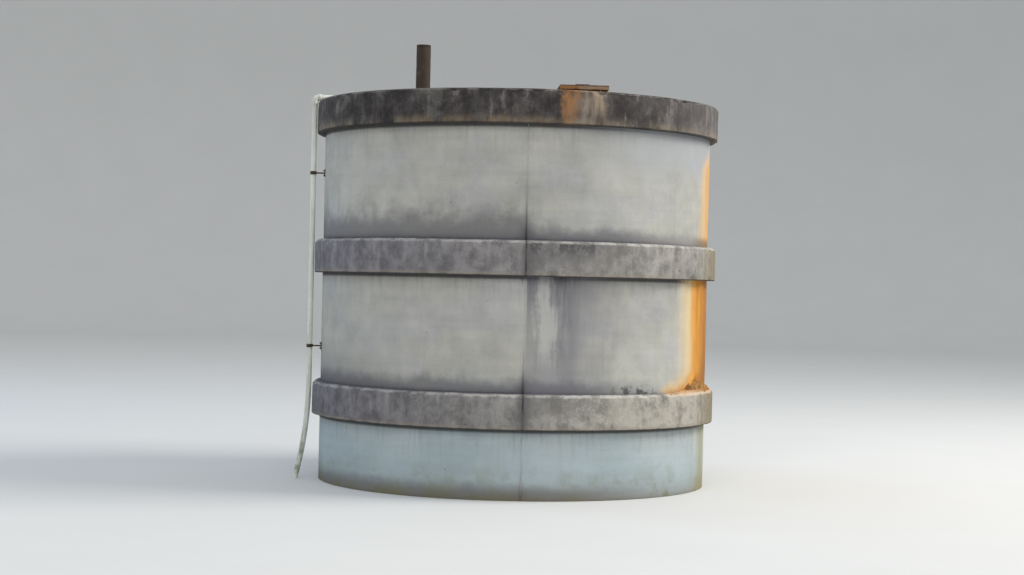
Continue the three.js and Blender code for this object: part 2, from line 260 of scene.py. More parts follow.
class Sheet:
    """The node tree of one material, on the coordinates of the tank, and its colour so far."""

    def __init__(self, name):
        self.material = bpy.data.materials.new(name)
        self.material.use_nodes = True
        self.tree = self.material.node_tree
        self.tree.nodes.clear()
        self.place = self.node("TexCoord", output="Object")
        self.x, self.y, self.z = self.parts(self.place)
        self.colour = None

    @cached_property
    def azimuth(self):
        """Degrees from the front towards the right, from -180 to 180."""
        return self.x.math("ARCTAN2", 0 - self.y) * math.degrees(1)

    @cached_property
    def radius(self):
        return (self.x * self.x + self.y * self.y).math("SQRT")

    def node(self, kind, options=None, inputs=None, output=0):
        """A new node of a kind, with its options set before its sockets."""
        made = self.tree.nodes.new("ShaderNode" + kind)
        for key, value in (options or {}).items():
            setattr(made, key, value)
        for key, value in (inputs or {}).items():
            if isinstance(value, Socket):
                self.tree.links.new(value.output, made.inputs[key])
            else:
                made.inputs[key].default_value = value
        return Socket(self, made.outputs[output]) if made.outputs else None

    def math(self, operation, *values):
        return self.node("Math", {"operation": operation}, dict(enumerate(values)))

    def vector_math(self, operation, *vectors):
        return self.node("VectorMath", {"operation": operation}, dict(enumerate(vectors)))

    def parts(self, vector):
        x = self.node("SeparateXYZ", inputs={0: vector})
        return x, x.sibling("Y"), x.sibling("Z")

    def noise(self, scale, detail=3.0, roughness=0.55, stretch=None):
        """Noise about 0.5, its features about 1 / scale metres across.

        stretch holds factors that the place is scaled by across and upright.
        """
        place = self.place
        if stretch:
            across, upright = stretch
            place = self.vector_math("MULTIPLY", place, (across, across, upright))
        sockets = {"Vector": place, "Scale": scale, "Detail": detail, "Roughness": roughness}
        return self.node("TexNoise", inputs=sockets)

    def warped(self, scale, amount):
        """The place on the tank, pushed about by noise."""
        push = self.vector_math("SUBTRACT", self.noise(scale).sibling("Color"), (0.5, 0.5, 0.5))
        return self.vector_math("MULTIPLY_ADD", push, (amount, amount, amount), self.place)

    def cells(self, scale, at=None):
        """Distance to the nearest of points strewn 1 / scale metres apart."""
        sockets = {"Vector": self.place if at is None else at, "Scale": scale}
        return self.node("TexVoronoi", {"feature": "F1"}, sockets, "Distance")

    def spots(self, scale, size, share, ragged=0.6):
        """Spots up to size / scale metres in radius, in a share of the cells."""
        distance = self.cells(scale, self.warped(scale * 3.0, ragged / scale))
        chance, growth, _ = self.parts(distance.sibling("Color"))
        grown = size * (0.35 + 0.65 * growth)
        return (distance / grown).ease(1.0, 0.7) * chance.ease(1 - share, 1.001 - share)

    def blend(self, share, first, second, way="MIX"):
        """A colour from first to second as share goes from 0 to 1."""
        options = {"data_type": "RGBA", "blend_type": way, "clamp_factor": True}
        return self.node("Mix", options, {0: share, 6: first, 7: second}, 2)

    def shade(self, colour, amount):
        """A colour made lighter or darker by a number around 1."""
        grey = self.node("CombineXYZ", inputs={0: amount, 1: amount, 2: amount})
        return self.blend(1.0, colour, grey, "MULTIPLY")

    def coat(self, share, colour):
        """Lays a colour over the colour so far."""
        self.colour = self.blend(share, self.colour, colour)

    def finish(self, roughness, height, depth, metallic=0.0, specular=0.5):
        """The material, its face rising and falling by depth with height."""
        bump = self.node("Bump", inputs={"Height": height, "Strength": 1.0, "Distance": depth})
        inputs = {
            "Base Color": self.colour,
            "Roughness": roughness,
            "Normal": bump,
            "Metallic": metallic,
            "Specular IOR Level": specular,
        }
        shader = self.node("BsdfPrincipled", inputs=inputs)
        self.node("OutputMaterial", inputs={"Surface": shader})
        return self.material


class WallSheet(Sheet):
    """A sheet for the wall between two heights, with the noises that its stains share."""

    def __init__(self, name, ledge, soffit):
        super().__init__(name)
        self.above = self.z - ledge
        self.under = soffit - self.z
        cloud = self.noise(5.5, 6.0, 0.62)
        streak = self.noise(6.5, 5.0, 0.6, (1.0, 0.13))
        thread = self.noise(30.0, 4.0, 0.6, (1.0, 0.1))
        self.noises = (cloud, streak, thread)


def seam_distance(azimuth, radius):
    """Metres along a round face from the nearest upright joint."""
    turn = (azimuth / 90 + 0.5).math("FRACT")
    return abs(turn - 0.5) * (radius * math.pi / 2)


def ledge_growth(wall, climb):
    """Dark growth on the wall over a ledge: a strip with faint wisps, thinner at the right.

    climb goes from 0, a low strip that the right side lacks, to 1, tall all along the left.
    """
    cloud, streak, thread = wall.noises
    left = wall.x.ease(0.3, -0.1)
    right = wall.x.ease(0.2 + 0.4 * climb, 1.1 + 0.4 * climb) * (0.95 - 0.25 * climb)
    level = wall.above / (0.073 + 0.1 * climb * left)
    body = level.swayed(0.6, streak).swayed(1.8, cloud).ease(1.75, 0.45)
    body = body * (0.54 + 0.3 * cloud) * (1 - right)
    wisps = wall.noise(5.0, 4.0, 0.6, (1.0, 0.2)).swayed(0.3, thread)
    tail = wall.above.ease(0.06 + 0.5 * climb, 0.0) * wisps.ease(0.45, 0.66) * left
    foot = wall.above.fading(0.015) * (0.1 + 0.5 * thread)
    wall.coat(body.math("MAXIMUM", tail * 0.46) + foot, colours().growth)


def seam_soil(wall, tall):
    """Dirt along an upright joint: a faint hairline high up, a widening smear over the ledge."""
    cloud, _, thread = wall.noises
    off = seam_distance(wall.azimuth, WALL_RADIUS)
    low = wall.above.fading(0.06 + 0.12 * tall)
    width = 0.014 + 0.06 * wall.above.fading(0.05 + 0.08 * tall)
    wall.coat(((off / width) ** 2).fading(1.0) * low * (0.55 + 0.9 * thread), colours().growth)
    line = off.ease(0.01, 0.002) * (0.6 * low + 0.4 * wall.under.fading(0.04))
    line = line + off.swayed(0.04, cloud).ease(0.022, 0.004) * low * 0.45
    wall.coat(line, colours().soil_and_shade)


def iron_leak(wall, inside, rich):
    """The stain of the leaking joint, from degrees inside its ragged edge and its strength."""
    c = colours()
    cloud, streak, thread = wall.noises
    fingers = wall.noise(4.0, 4.0, 0.6, (1.0, 0.22)) - 0.5
    inside = inside + 36.0 * fingers * wall.y.ease(-0.25, 0.1)
    inside = inside.swayed(7.0, streak).swayed(3.0, thread)
    thick = (streak + 0.5 * thread).ease(0.72, 0.9) * inside.ease(2.0, 8.0)
    core = inside.ease(5.0, 13.5) * (0.3 + 0.7 * streak)
    orange = wall.blend(inside.span(1.5, 6.8, 1.5), c.leak, c.leak_bright)
    orange = wall.shade(orange, 0.35 + 0.8 * thread + 0.5 * cloud)
    orange = wall.blend(thick * 0.6 + core, orange, c.leak_dark)
    fringe = wall.blend(0.9 - 0.9 * rich, c.leak_halo, c.leak_bright)
    wall.coat(inside.ease(-10.5, 0.5) * (0.45 + 0.4 * rich), fringe)
    wall.coat(inside.ease(-2.5, 3.0) * rich, orange)


def wall_concrete(name, ledge, soffit, tall, climb, marks):
    """Cast wall between a ledge that splashes it and an edge that drips on it.

    tall is how far dirt climbs along the joints, and climb how far growth climbs between them.
    marks adds the stains of one lift alone.
    """
    c = colours()
    wall = WallSheet(name, ledge, soffit)
    cloud, _, thread = wall.noises
    blotch = wall.noise(1.2, 4.0, 0.6)
    pour = wall.noise(1.0, 4.0, 0.66, (0.9, 13.0))
    sand = wall.noise(110.0, 4.0, 0.7)

    lilac = wall.noise(1.9, 3.0, 0.5, (1.0, 1.6)).ease(0.46, 0.62)
    bare = wall.blend(lilac * 0.55, c.wall, c.wall_lilac)
    # Cleaner, lighter concrete near the ground, its blue tint a painted sky reflection.
    bare = wall.blend(wall.z.swayed(0.8, blotch).ease(1.0, 0.15), bare, c.wall_cool)
    tone = 0.6 * blotch + 0.5 * cloud + 0.12 * thread + 0.24 * pour + 0.3 * sand + 0.11
    wall.colour = wall.shade(bare, tone)

    wall.coat(wall.under.fading(0.16) * thread.ease(0.47, 0.68) * 0.3, c.growth)
    # Dirt and painted shade: a dark line on the wall just under the band or rim above it.
    wall.coat(wall.under.ease(0.034, 0.012) * 0.85, c.soil_and_shade)
    ledge_growth(wall, climb)
    seam_soil(wall, tall)
    marks(wall)

    pits = wall.spots(26.0, 0.1, 0.14)
    wall.coat(pits * 0.6, c.soil_and_shade)
    height = 0.5 * cloud + 0.35 * pour + 0.35 * sand - 1.2 * pits
    return wall.finish(0.8 + 0.14 * cloud, height, 0.004, specular=0.25)


def bottom_marks(wall):
    """Splashed soil and green growth near the ground, and the last of the leak."""
    c = colours()
    cloud, streak, _ = wall.noises
    wall.coat(wall.above.fading(0.075 + 0.08 * streak) * (0.3 + 0.9 * cloud), c.splash)
    wall.coat(wall.above.fading(0.2) * cloud.ease(0.47, 0.62) * 0.6, c.moss)
    olive = wall.azimuth.span(62.0, 108.0, 8.0) * streak.ease(0.36, 0.58)
    wall.coat(olive * 0.6, c.wall_olive)


def middle_marks(wall):
    """The dark run right of the front joint, mould on the ledge and the leak at the right."""
    c = colours()
    cloud, streak, thread = wall.noises
    azimuth, above = wall.azimuth, wall.above
    bent = azimuth.swayed(8.0, thread).swayed(7.0, cloud)
    ragged = (thread + 0.4 * cloud).ease(0.5, 0.9)
    corner = wall.x.ease(-0.7, -1.35) * above.ease(0.36, 0.03)
    wall.coat(corner * (0.2 + 0.5 * cloud), c.growth)

    zone = azimuth.ease(0.05, 0.9) * bent.ease(31.0, 15.0) * (0.38 + 0.26 * above.ease(0.3, 0.8))
    wall.coat(zone * (0.4 + 0.7 * streak + 0.5 * cloud), c.wall_grey)
    dark = bent.span(9.0, 14.5, 2.4) * above.ease(-0.1, 0.4)
    wall.coat(dark * (0.2 + 0.35 * ragged), c.growth)
    near = bent.span(0.3, 3.4, 0.9) * above.ease(0.5, 0.8)
    wall.coat(near * (0.1 + 0.35 * ragged), c.growth)
    thin = azimuth.span(0.0, 15.0, 1.5) * above.ease(0.74, 0.84) * ragged
    wall.coat(thin * 0.6, c.soil_and_shade)
    lime = bent.span(3.8, 7.4, 1.3) * above.span(0.25, 0.86, 0.14)
    wall.coat(lime * (0.28 + 0.55 * cloud), c.lime)
    mould = azimuth.span(26.0, 41.0, 2.5) * above.ease(0.08, 0.025)
    wall.coat(mould * wall.noise(15.0, 4.0, 0.6).ease(0.5, 0.58) * 0.75, c.soil_and_shade)

    pool = (9.2 + 16.0 * (cloud - 0.5)) * above.ease(0.17, 0.0)
    inside = (azimuth - 59.5).math("MINIMUM", 109.0 - azimuth) + pool
    rich = 0.95 - 0.25 * azimuth.ease(62.5, 58.0) * above.ease(0.22, 0.1)
    iron_leak(wall, inside, rich)
    wall.coat(above.fading(0.018) * azimuth.span(46.0, 112.0, 3.0) * 0.65, c.leak_dark)


def top_marks(wall):
    """The upper end of the leak, which starts below the lid, and a cool painted shade beside it, high up
    below the lid's rim.
    """
    c = colours()
    azimuth, above = wall.azimuth, wall.above
    # Painted shade: a cool tint high on the right, where the lid's rim shades the wall.
    painted_rim_shade = wall.z.swayed(0.3, wall.noises[0]).ease(2.32, 2.48) * azimuth.ease(5.0, 40.0)
    wall.coat(painted_rim_shade * 0.6, c.wall_painted_shade)
    inside = (azimuth - 71.5).math("MINIMUM", 105.0 - azimuth)
    iron_leak(wall, inside - 16.0 * above.ease(0.56, 0.86), 0.55)
    wall.coat(above.ease(0.085, 0.03) * azimuth.span(60.0, 115.0, 7.0) * 0.65, c.leak_foot)


def band_concrete(name, base, top, lower):
    """Rough concrete of a band: streaked growth, a pale top edge that is partly a painted highlight, a
    brown drip edge and painted shade along the bottom arris.

    lower adds what the lower band alone has: bare patches, curled trails and the leak's wash.
    """
    c = colours()
    sheet = Sheet(name)
    z, azimuth = sheet.z, sheet.azimuth
    blotch = sheet.noise(2.2, 4.0, 0.62)
    cloud = sheet.noise(11.0, 6.0, 0.68)
    broad = sheet.noise(9.0, 4.0, 0.6, (1.0, 0.4))
    streak = sheet.noise(19.0, 5.0, 0.64, (1.0, 0.22))
    sand = sheet.noise(130.0, 4.0, 0.7)
    right_end, dark_tone, dark_share = (0.6, 1.0, 0.45) if lower else (1.4, 1.13, 0.85)

    # Darker towards the left and lighter towards the right.
    right = sheet.x.ease(-1.5, right_end)
    mottle = 0.55 * cloud + 0.12 * streak + 0.33 * broad
    tones = []
    for left_tone, right_tone in ((0.72, 0.62), (1.3, 1.1)):
        left_colour = sheet.shade(c.band_dark, left_tone * dark_tone)
        tones.append(sheet.blend(right, left_colour, sheet.shade(c.band, right_tone)))
    bare = sheet.blend(mottle.ease(0.39, 0.6), *tones)
    sheet.colour = sheet.shade(bare, 0.4 + 0.55 * sand + 0.65 * blotch)
    if lower:
        pale = azimuth.ease(0.0, 36.0) * (cloud + 0.5 * broad).ease(0.5, 0.85)
        sheet.coat(pale * 0.75, c.band_pale)
    dark = azimuth.ease(0.0, 1.5) * azimuth.ease(28.0, 16.0) * z.ease(base + 0.02, top - 0.02)
    dark = dark * (cloud + 0.4 * streak).ease(0.58, 0.76)
    sheet.coat(dark * dark_share, sheet.shade(c.band_dark, 0.4))
    if lower:
        curls = abs(sheet.noise(21.0, 2.5) - 0.5).ease(0.05, 0.01) * azimuth.span(8.0, 33.0, 5.0)
        sheet.coat(curls * cloud.ease(0.44, 0.56) * 0.35, c.lime)
        rusty = azimuth.span(70.0, 98.0, 6.0) * streak.ease(0.42, 0.6)
        sheet.coat(rusty * 0.6, sheet.shade(c.leak, 0.55))
    sheet.coat(azimuth.span(63.0, 104.0, 8.0) * (0.3 + 0.9 * broad), c.band_olive)
    sheet.coat(streak.ease(0.54, 0.7) * (top - z).fading(0.12) * 0.25, c.lime)
    tan = z.swayed(0.03, cloud).span(base + 0.008, base + 0.026, 0.006)
    sheet.coat(tan * (0.1 + 0.6 * cloud), c.tan)
    # Painted shade: black along the band's down-facing bottom arris.
    sheet.coat(z.ease(base + 0.011, base + 0.004) * 0.75, c.soil_and_shade)

    # Pale line along the top chamfer: worn lime, and a painted highlight where the chamfer faces the sky;
    # brighter towards the right.
    edge = z.swayed(0.04, cloud).ease(top - 0.026, top - 0.014)
    edge = edge * (0.1 + 0.55 * (cloud + broad).ease(0.82, 1.14))
    sheet.coat(edge, sheet.shade(c.lime, 0.72 + 0.2 * right))
    flat = sheet.radius.ease(BAND_RADIUS - 0.02, BAND_RADIUS - 0.028) * z.ease(top - 0.01, top - 0.004)
    sheet.coat(flat * (0.3 + 0.9 * cloud), sheet.shade(c.growth, 0.8 + 0.5 * right))
    if lower:
        pool = azimuth.swayed(6.0, cloud).span(45.0, 112.0, 2.0) * z.ease(top - 0.03, top - 0.01)
        peach = sheet.blend(cloud.ease(0.45, 0.75) * 0.6, c.band_peach, c.leak)
        sheet.coat(pool * 0.8, peach)

    off = seam_distance(azimuth, BAND_RADIUS)
    smear = ((off / (0.012 + 0.06 * cloud)) ** 2).fading(1.0)
    sheet.coat(smear * 0.6, sheet.shade(c.band_dark, 0.5))
    sheet.coat(off.ease(0.009, 0.003) * (0.1 + cloud), c.soil_and_shade)
    pits = sheet.spots(32.0, 0.16, 0.4)
    sheet.coat(pits * 0.8, c.soil_and_shade)
    height = 0.9 * cloud + 0.3 * streak + 0.5 * sand - 1.3 * pits
    return sheet.finish(0.84 + 0.12 * cloud, height, 0.0045, specular=0.25)


def lid_concrete():
    """The lid: near-black growth with pale runs on the rim, painted shade along the rim's bottom arris,
    lichen and litter on the top.
    """
    c = colours()
    sheet = Sheet("lid_casting")
    z, azimuth = sheet.z, sheet.azimuth
    blotch = sheet.noise(3.2, 4.0, 0.62)
    cloud = sheet.noise(12.0, 6.0, 0.66)
    streak = sheet.noise(19.0, 5.0, 0.62, (1.0, 0.14))
    broad = sheet.noise(7.0, 4.0, 0.6, (1.0, 0.3))
    sand = sheet.noise(130.0, 4.0, 0.7)

    # Darker towards the left and much lighter towards the right.
    right = sheet.x.ease(0.7, 1.55)
    mottle = 0.45 * cloud + 0.25 * streak + 0.3 * broad
    dim, clear = sheet.shade(c.rim, 0.45 + right), sheet.shade(c.rim, 1.25 + 0.9 * right)
    growth = sheet.blend(mottle.ease(0.4, 0.6), dim, clear)
    sheet.colour = sheet.shade(growth, 0.4 + 0.6 * sand + 0.6 * blotch)
    bare = (0.5 * broad + 0.35 * streak + 0.3 * cloud).ease(0.62, 0.7)
    sheet.coat(bare * 0.5, c.rim_pale)
    sheet.coat(sheet.noise(4.0, 5.0, 0.62).swayed(0.3, sand).ease(0.5, 0.68) * 0.4, c.rim_pale)
    foot = z.swayed(0.08, cloud).swayed(0.05, streak).ease(RIM_BASE + 0.075, RIM_BASE + 0.012)
    foot = foot * (broad + 0.5 * blotch).ease(0.55, 0.85)
    sheet.coat(foot * (0.2 + 0.6 * cloud), c.tan)
    foot = foot * azimuth.span(-34.0, 10.0, 10.0) * streak.ease(0.4, 0.6)
    sheet.coat(foot * 0.55, sheet.shade(c.leak, 0.3))
    # Painted shade: black along the rim's down-facing bottom arris.
    sheet.coat(z.ease(RIM_BASE + 0.012, RIM_BASE + 0.004) * 0.75, c.soil_and_shade)

    bent = azimuth.swayed(6.0, streak).swayed(9.0, broad).swayed(8.0, cloud)
    crest = z.ease(RIM_BASE + 0.06, RIM_BASE + 0.2)
    brown = bent.span(14.8, 21.2, 1.5) * z.ease(RIM_BASE - 0.05, RIM_BASE + 0.16)
    brown = brown * (0.25 + 0.6 * streak.ease(0.4, 0.6) + 0.25 * crest)
    sheet.coat(brown, c.rim_brown)
    strong = bent.span(8.4, 13.6, 1.7) * z.ease(RIM_BASE - 0.1, RIM_BASE + 0.18)
    patchy = (0.6 * cloud + 0.4 * streak).ease(0.36, 0.56)
    sheet.coat(strong * (0.3 + 0.6 * patchy), c.rim_rust)
    sheet.coat(bent.span(25.0, 38.0, 4.0) * (1 - bare) * 0.5, sheet.shade(c.rim, 0.5))

    top = z.ease(LID_TOP - 0.007, LID_TOP - 0.003)
    sheet.coat(top * 0.95, lid_deck(sheet, bent, blotch, cloud))
    edge = z.ease(LID_TOP - 0.02, LID_TOP - 0.008) * (1 - top) * cloud.ease(0.42, 0.56)
    sheet.coat(edge * 0.6, c.rim_pale)
    pits = sheet.spots(34.0, 0.17, 0.4)
    sheet.coat(pits * 0.7, c.soil_and_shade)
    height = cloud + 0.3 * streak + 0.5 * sand - 1.2 * pits
    return sheet.finish(0.86 + 0.1 * cloud, height, 0.005, specular=0.3)


def lid_deck(sheet, bent, blotch, cloud):
    """Colour of the lid's top: dried puddles, lichen, litter and rust round the steel."""
    c = colours()
    deck = sheet.blend((0.6 * cloud + 0.4 * blotch).ease(0.36, 0.64), c.deck_dull, c.deck_clean)
    pool = sheet.noise(1.5, 4.0, 0.55)
    deck = sheet.blend(pool.ease(0.47, 0.62) * 0.65, deck, c.deck_pool)
    tide = abs(pool - 0.5).ease(0.016, 0.0) * blotch.ease(0.42, 0.56)
    deck = sheet.blend(tide * 0.35, deck, c.lichen)
    litter = sheet.radius.swayed(0.25, blotch).ease(1.4, 1.55) * cloud.ease(0.4, 0.6)
    deck = sheet.blend(litter * 0.5, deck, c.deck_litter)
    lichen = sheet.spots(5.0, 0.3, 0.3, 1.2) * cloud.ease(0.4, 0.56)
    deck = sheet.blend(lichen * 0.6, deck, c.lichen)
    from_vent = ((sheet.x - VENT.x) ** 2 + (sheet.y - VENT.y) ** 2) ** 0.5
    from_hatch = abs(sheet.x - HATCH.x).math("MAXIMUM", abs(sheet.y - HATCH.y))
    halo = (from_vent - VENT_RADIUS).fading(0.07) + (from_hatch - HATCH_HALF).fading(0.06)
    run = bent.span(8.0, 24.0, 2.5) * sheet.radius.ease(1.22, 1.4)
    share = halo * (0.4 + 0.7 * cloud) + run * (0.3 + 0.7 * cloud)
    return sheet.blend(share, deck, c.deck_rust)


def joint_mortar(name, ledges, least):
    """Old filler of the joints: never cleaner than least, and black up to a height over ledges."""
    sheet = Sheet(name)
    cloud = sheet.noise(24.0, 5.0, 0.65)
    black = least
    for ledge, height in ledges:
        step = sheet.z.ease(ledge - 0.001, ledge)
        over = sheet.z.ease(ledge + height, ledge)
        black = black * (1 - step) + step * (least + over * 0.9)
    sheet.colour = sheet.shade(colours().wall, 0.75 + 0.5 * cloud)
    sheet.coat(black, colours().soil_and_shade)
    return sheet.finish(0.9, cloud + 0.5 * sheet.noise(150.0), 0.004)


def iron_crust():
    """Lumpy mineral and rust deposit left by the leak."""
    c = colours()
    sheet = Sheet("iron_crust")
    azimuth, over = sheet.azimuth, sheet.z - LOWER_BAND[1]
    cloud = sheet.noise(28.0, 6.0, 0.68)
    lump = sheet.cells(60.0, sheet.warped(40.0, 0.05))
    sheet.colour = sheet.blend(cloud.ease(0.38, 0.62), c.leak_dark, c.leak)
    sheet.coat(lump.ease(0.4, 0.8) * 0.5, c.crust_dark)
    sheet.coat(cloud.ease(0.62, 0.72) * 0.7, c.leak_halo)
    flat = over.ease(0.02, 0.008) * azimuth.ease(72.0, 58.0)
    sheet.coat(flat * (0.3 + 0.5 * cloud), c.crust_pale)
    heap = azimuth.span(55.5, 78.0, 1.2) * over.ease(0.01, 0.024) * over.ease(0.13, 0.11)
    hollows = sheet.noise(24.0, 5.0, 0.65).ease(0.46, 0.58) + azimuth.span(55.0, 58.0, 1.5)
    lumps = sheet.blend(hollows, c.heap, c.heap_dark)
    sheet.coat(heap * 0.9, sheet.shade(lumps, 0.3 + 1.3 * cloud))
    return sheet.finish(0.8 + 0.15 * cloud, cloud - 0.6 * lump, 0.004, specular=0.25)


def rusty_steel(name, dark_above=100.0, caked=False):
    """Bare steel rusted all over, with flaking scale, and darker above a height.

    Nothing reaches that height unless it is given. caked adds the fresh rust and the dried dirt
    on the front of the hatch.
    """
    c = colours()
    sheet = Sheet(name)
    cloud = sheet.noise(20.0, 6.0, 0.68)
    blotch = sheet.noise(7.5, 4.0, 0.6)
    grain = sheet.noise(240.0, 4.0, 0.7)
    thread = sheet.noise(55.0, 4.0, 0.6, (1.0, 0.12))
    flake = sheet.cells(48.0).ease(0.42, 0.3) * cloud.ease(0.46, 0.58)
    sheet.colour = sheet.shade(c.rust, 0.45 + cloud)
    fresh = blotch.swayed(0.3, cloud).ease(0.44, 0.62)
    fresh = fresh * (1 - 0.75 * sheet.z.ease(dark_above, dark_above + 0.12))
    sheet.coat(fresh * 0.8, sheet.shade(c.rust_bright, 0.5 + cloud))
    sheet.coat(thread.ease(0.54, 0.68) * 0.5, c.rust_runs)
    sheet.coat(flake * 0.65, c.rust_scale)
    if caked:
        front, top = HATCH.y - COVER_HALF, heights("hatch_cover")[1]
        face = sheet.y.ease(front + 0.02, front + 0.004)
        face = face * sheet.z.swayed(0.02, cloud).ease(top - 0.002, top - 0.014)
        side = sheet.x.swayed(0.25, cloud).ease(HATCH.x - 0.11, HATCH.x + 0.03)
        sheet.coat(face * (0.4 + 0.9 * cloud), sheet.blend(side, c.cake_rust, c.cake_dirt))
    height = cloud + 0.5 * grain + 0.6 * flake
    return sheet.finish(0.7 + 0.24 * cloud, height, 0.0018, metallic=0.1)


def white_plastic():
    """Sun-bleached pipe with dusty runs and a little green growth near the ground."""
    c = colours()
    sheet = Sheet("pipe_plastic")
    cloud = sheet.noise(13.0, 5.0, 0.62)
    thread = sheet.noise(42.0, 4.0, 0.6, (1.0, 0.08))
    low, high = sheet.z.ease(0.85, 0.02), sheet.z.ease(2.85, 2.98)
    sheet.colour = sheet.shade(c.plastic, 0.8 + 0.35 * cloud)
    sheet.coat(thread.ease(0.46, 0.7) * (0.3 + 0.35 * low + 0.4 * high), c.plastic_dust)
    sheet.coat(low * cloud.ease(0.42, 0.65) * 0.75, c.moss)
    sheet.coat(sheet.spots(90.0, 0.3, 0.22) * 0.45, c.plastic_specks)
    return sheet.finish(0.4 + 0.3 * cloud, cloud + 0.25 * thread, 0.0007)


class Unevenness:
    """Smooth seeded noise in space, one layer of which goes from -1 to 1.

    A number added to the places gives a pattern of its own from the same noise.
    """

    def __init__(self, seed, cells=48):
        self.cells = cells
        self.values = np.random.default_rng(seed).uniform(-1, 1, (cells,) * 3)

    def at(self, places, scale):
        spot = np.asarray(places) * scale
        base = np.floor(spot).astype(int)
        along = spot - base
        along = along * along * (3 - 2 * along)
        total = 0.0
        for corner in range(8):
            step = np.array([corner & 1, corner >> 1 & 1, corner >> 2 & 1])
            index = (base + step) % self.cells
            weight = np.prod(np.where(step, along, 1 - along), axis=-1)
            total = total + weight * self.values[index[..., 0], index[..., 1], index[..., 2]]
        return total

    def layered(self, places, scale, octaves=3):
        """Noise with finer and weaker layers on top of each other."""
        return sum(self.at(places, scale * 2**n) * 0.5**n for n in range(octaves))

    def moved(self, places, scale, amount):
        """Places shifted along every axis, mostly by less than an amount."""
        shifts = [self.layered(np.asarray(places) + 7.7 * axis, scale, 2) for axis in range(3)]
        return places + amount * np.stack(shifts, axis=-1)


def linked(name, data):
    """A new object in the scene."""
    made = bpy.data.objects.new(name, data)
    bpy.context.scene.collection.objects.link(made)
    return made


def place_mesh(name, solid, material, nodes=(), smooth_angle=38.0):
    """A closed, smooth-shaded piece that rides on the tank and may stand for some nodes."""
    vertices, faces = solid
    mesh = bpy.data.meshes.new(name)
    mesh.from_pydata(np.asarray(vertices).tolist(), [], faces)
    shell = bmesh.new()
    shell.from_mesh(mesh)
    bmesh.ops.remove_doubles(shell, verts=shell.verts, dist=1e-6)
    bmesh.ops.recalc_face_normals(shell, faces=shell.faces)
    shell.to_mesh(mesh)
    shell.free()
    mesh.shade_smooth()
    mesh.set_sharp_from_angle(angle=math.radians(smooth_angle))
    mesh.materials.append(material)
    piece = linked(name, mesh)
    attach(piece, "root")
    if nodes:
        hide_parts(*nodes)


def grid_faces(rows, columns, close_columns=True, close_rows=False):
    """Quads of a grid of points, counted row by row."""
    row = np.arange(rows if close_rows else rows - 1)
    column = np.arange(columns if close_columns else columns - 1)
    r, c = np.meshgrid(row, column, indexing="ij")
    r_next, c_next = (r + 1) % rows, (c + 1) % columns
    corners = [r * columns + c, r_next * columns + c]
    corners += [r_next * columns + c_next, r * columns + c_next]
    return [tuple(quad) for quad in np.stack(corners, axis=-1).reshape(-1, 4).tolist()]


def tube_faces(rows, columns):
    """Quads of a grid whose rows are closed loops, with a face over both ends."""
    last = (rows - 1) * columns
    return [*grid_faces(rows, columns), tuple(range(columns)), tuple(range(last, last + columns))]


def stitched(first, second):
    """Quads between two closed loops of as many points."""
    return list(zip(first, first[1:] + first[:1], second[1:] + second[:1], second))


def counted_from(start, faces):
    """Faces or loops whose points come after others."""
    return [tuple(start + i for i in face) for face in faces]


def round_places(azimuths, radii, levels):
    """Points from azimuths in radians, radii and heights."""
    azimuths, radii, levels = np.broadcast_arrays(azimuths, radii, levels)
    return np.stack([radii * np.sin(azimuths), -radii * np.cos(azimuths), levels], axis=-1)


def circle(count):
    turn = np.linspace(0, 2 * math.pi, count, endpoint=False)
    return np.stack([np.cos(turn), np.sin(turn)], axis=-1)


def square(per_side):
    """Directions round a square whose sides are one from its centre."""
    corners = np.array([(-1, -1), (1, -1), (1, 1), (-1, 1)], float)
    share = np.arange(per_side)[:, None] / per_side
    ends = np.roll(corners, -1, axis=0)
    return np.concatenate([start + (end - start) * share for start, end in zip(corners, ends)])


def spun(outline, plan, closed=True):
    """A shape from an outline of (distance, height) carried round a plan of directions.

    It is a solid where the outline is closed, or starts and ends on the axis.
    """
    outline = np.asarray(outline, float)
    flat = plan[:, None, :] * outline[None, :, :1]
    level = np.broadcast_to(outline[None, :, 1:], (*flat.shape[:2], 1))
    vertices = np.concatenate([flat, level], axis=-1).reshape(-1, 3)
    return vertices, grid_faces(len(plan), len(outline), closed, close_rows=True)


def swept(route, radii, across, around):
    """A round bar along a route in a plane, given the direction across that plane."""
    route, across = np.asarray(route, float), np.asarray(across, float)
    along = np.gradient(route, axis=0)
    along /= np.linalg.norm(along, axis=1)[:, None]
    out = np.cross(across, along)
    radii = np.broadcast_to(radii, len(route))[:, None, None]
    ring = circle(around)
    section = ring[None, :, :1] * out[:, None, :] + ring[None, :, 1:] * across
    vertices = (route[:, None, :] + radii * section).reshape(-1, 3)
    return vertices, tube_faces(len(route), around)


def bent_route(start, corner, end, steps):
    """Points of the curve from start to end that leans towards corner."""
    t = np.linspace(0, 1, steps)[:, None]
    start, corner, end = (np.asarray(p, float) for p in (start, corner, end))
    return (1 - t) ** 2 * start + 2 * t * (1 - t) * corner + t**2 * end


class Assembly:
    """Several closed solids that become one piece."""

    def __init__(self):
        self.vertices, self.faces = [], []

    def add(self, solid, place=None):
        vertices, faces = solid
        vertices = np.asarray(vertices)
        if place is not None:
            vertices = vertices @ np.array(place.to_3x3()).T + np.array(place.translation)
        self.faces.extend(counted_from(len(self.vertices), faces))
        self.vertices.extend(vertices.tolist())

    def solid(self):
        return self.vertices, self.faces


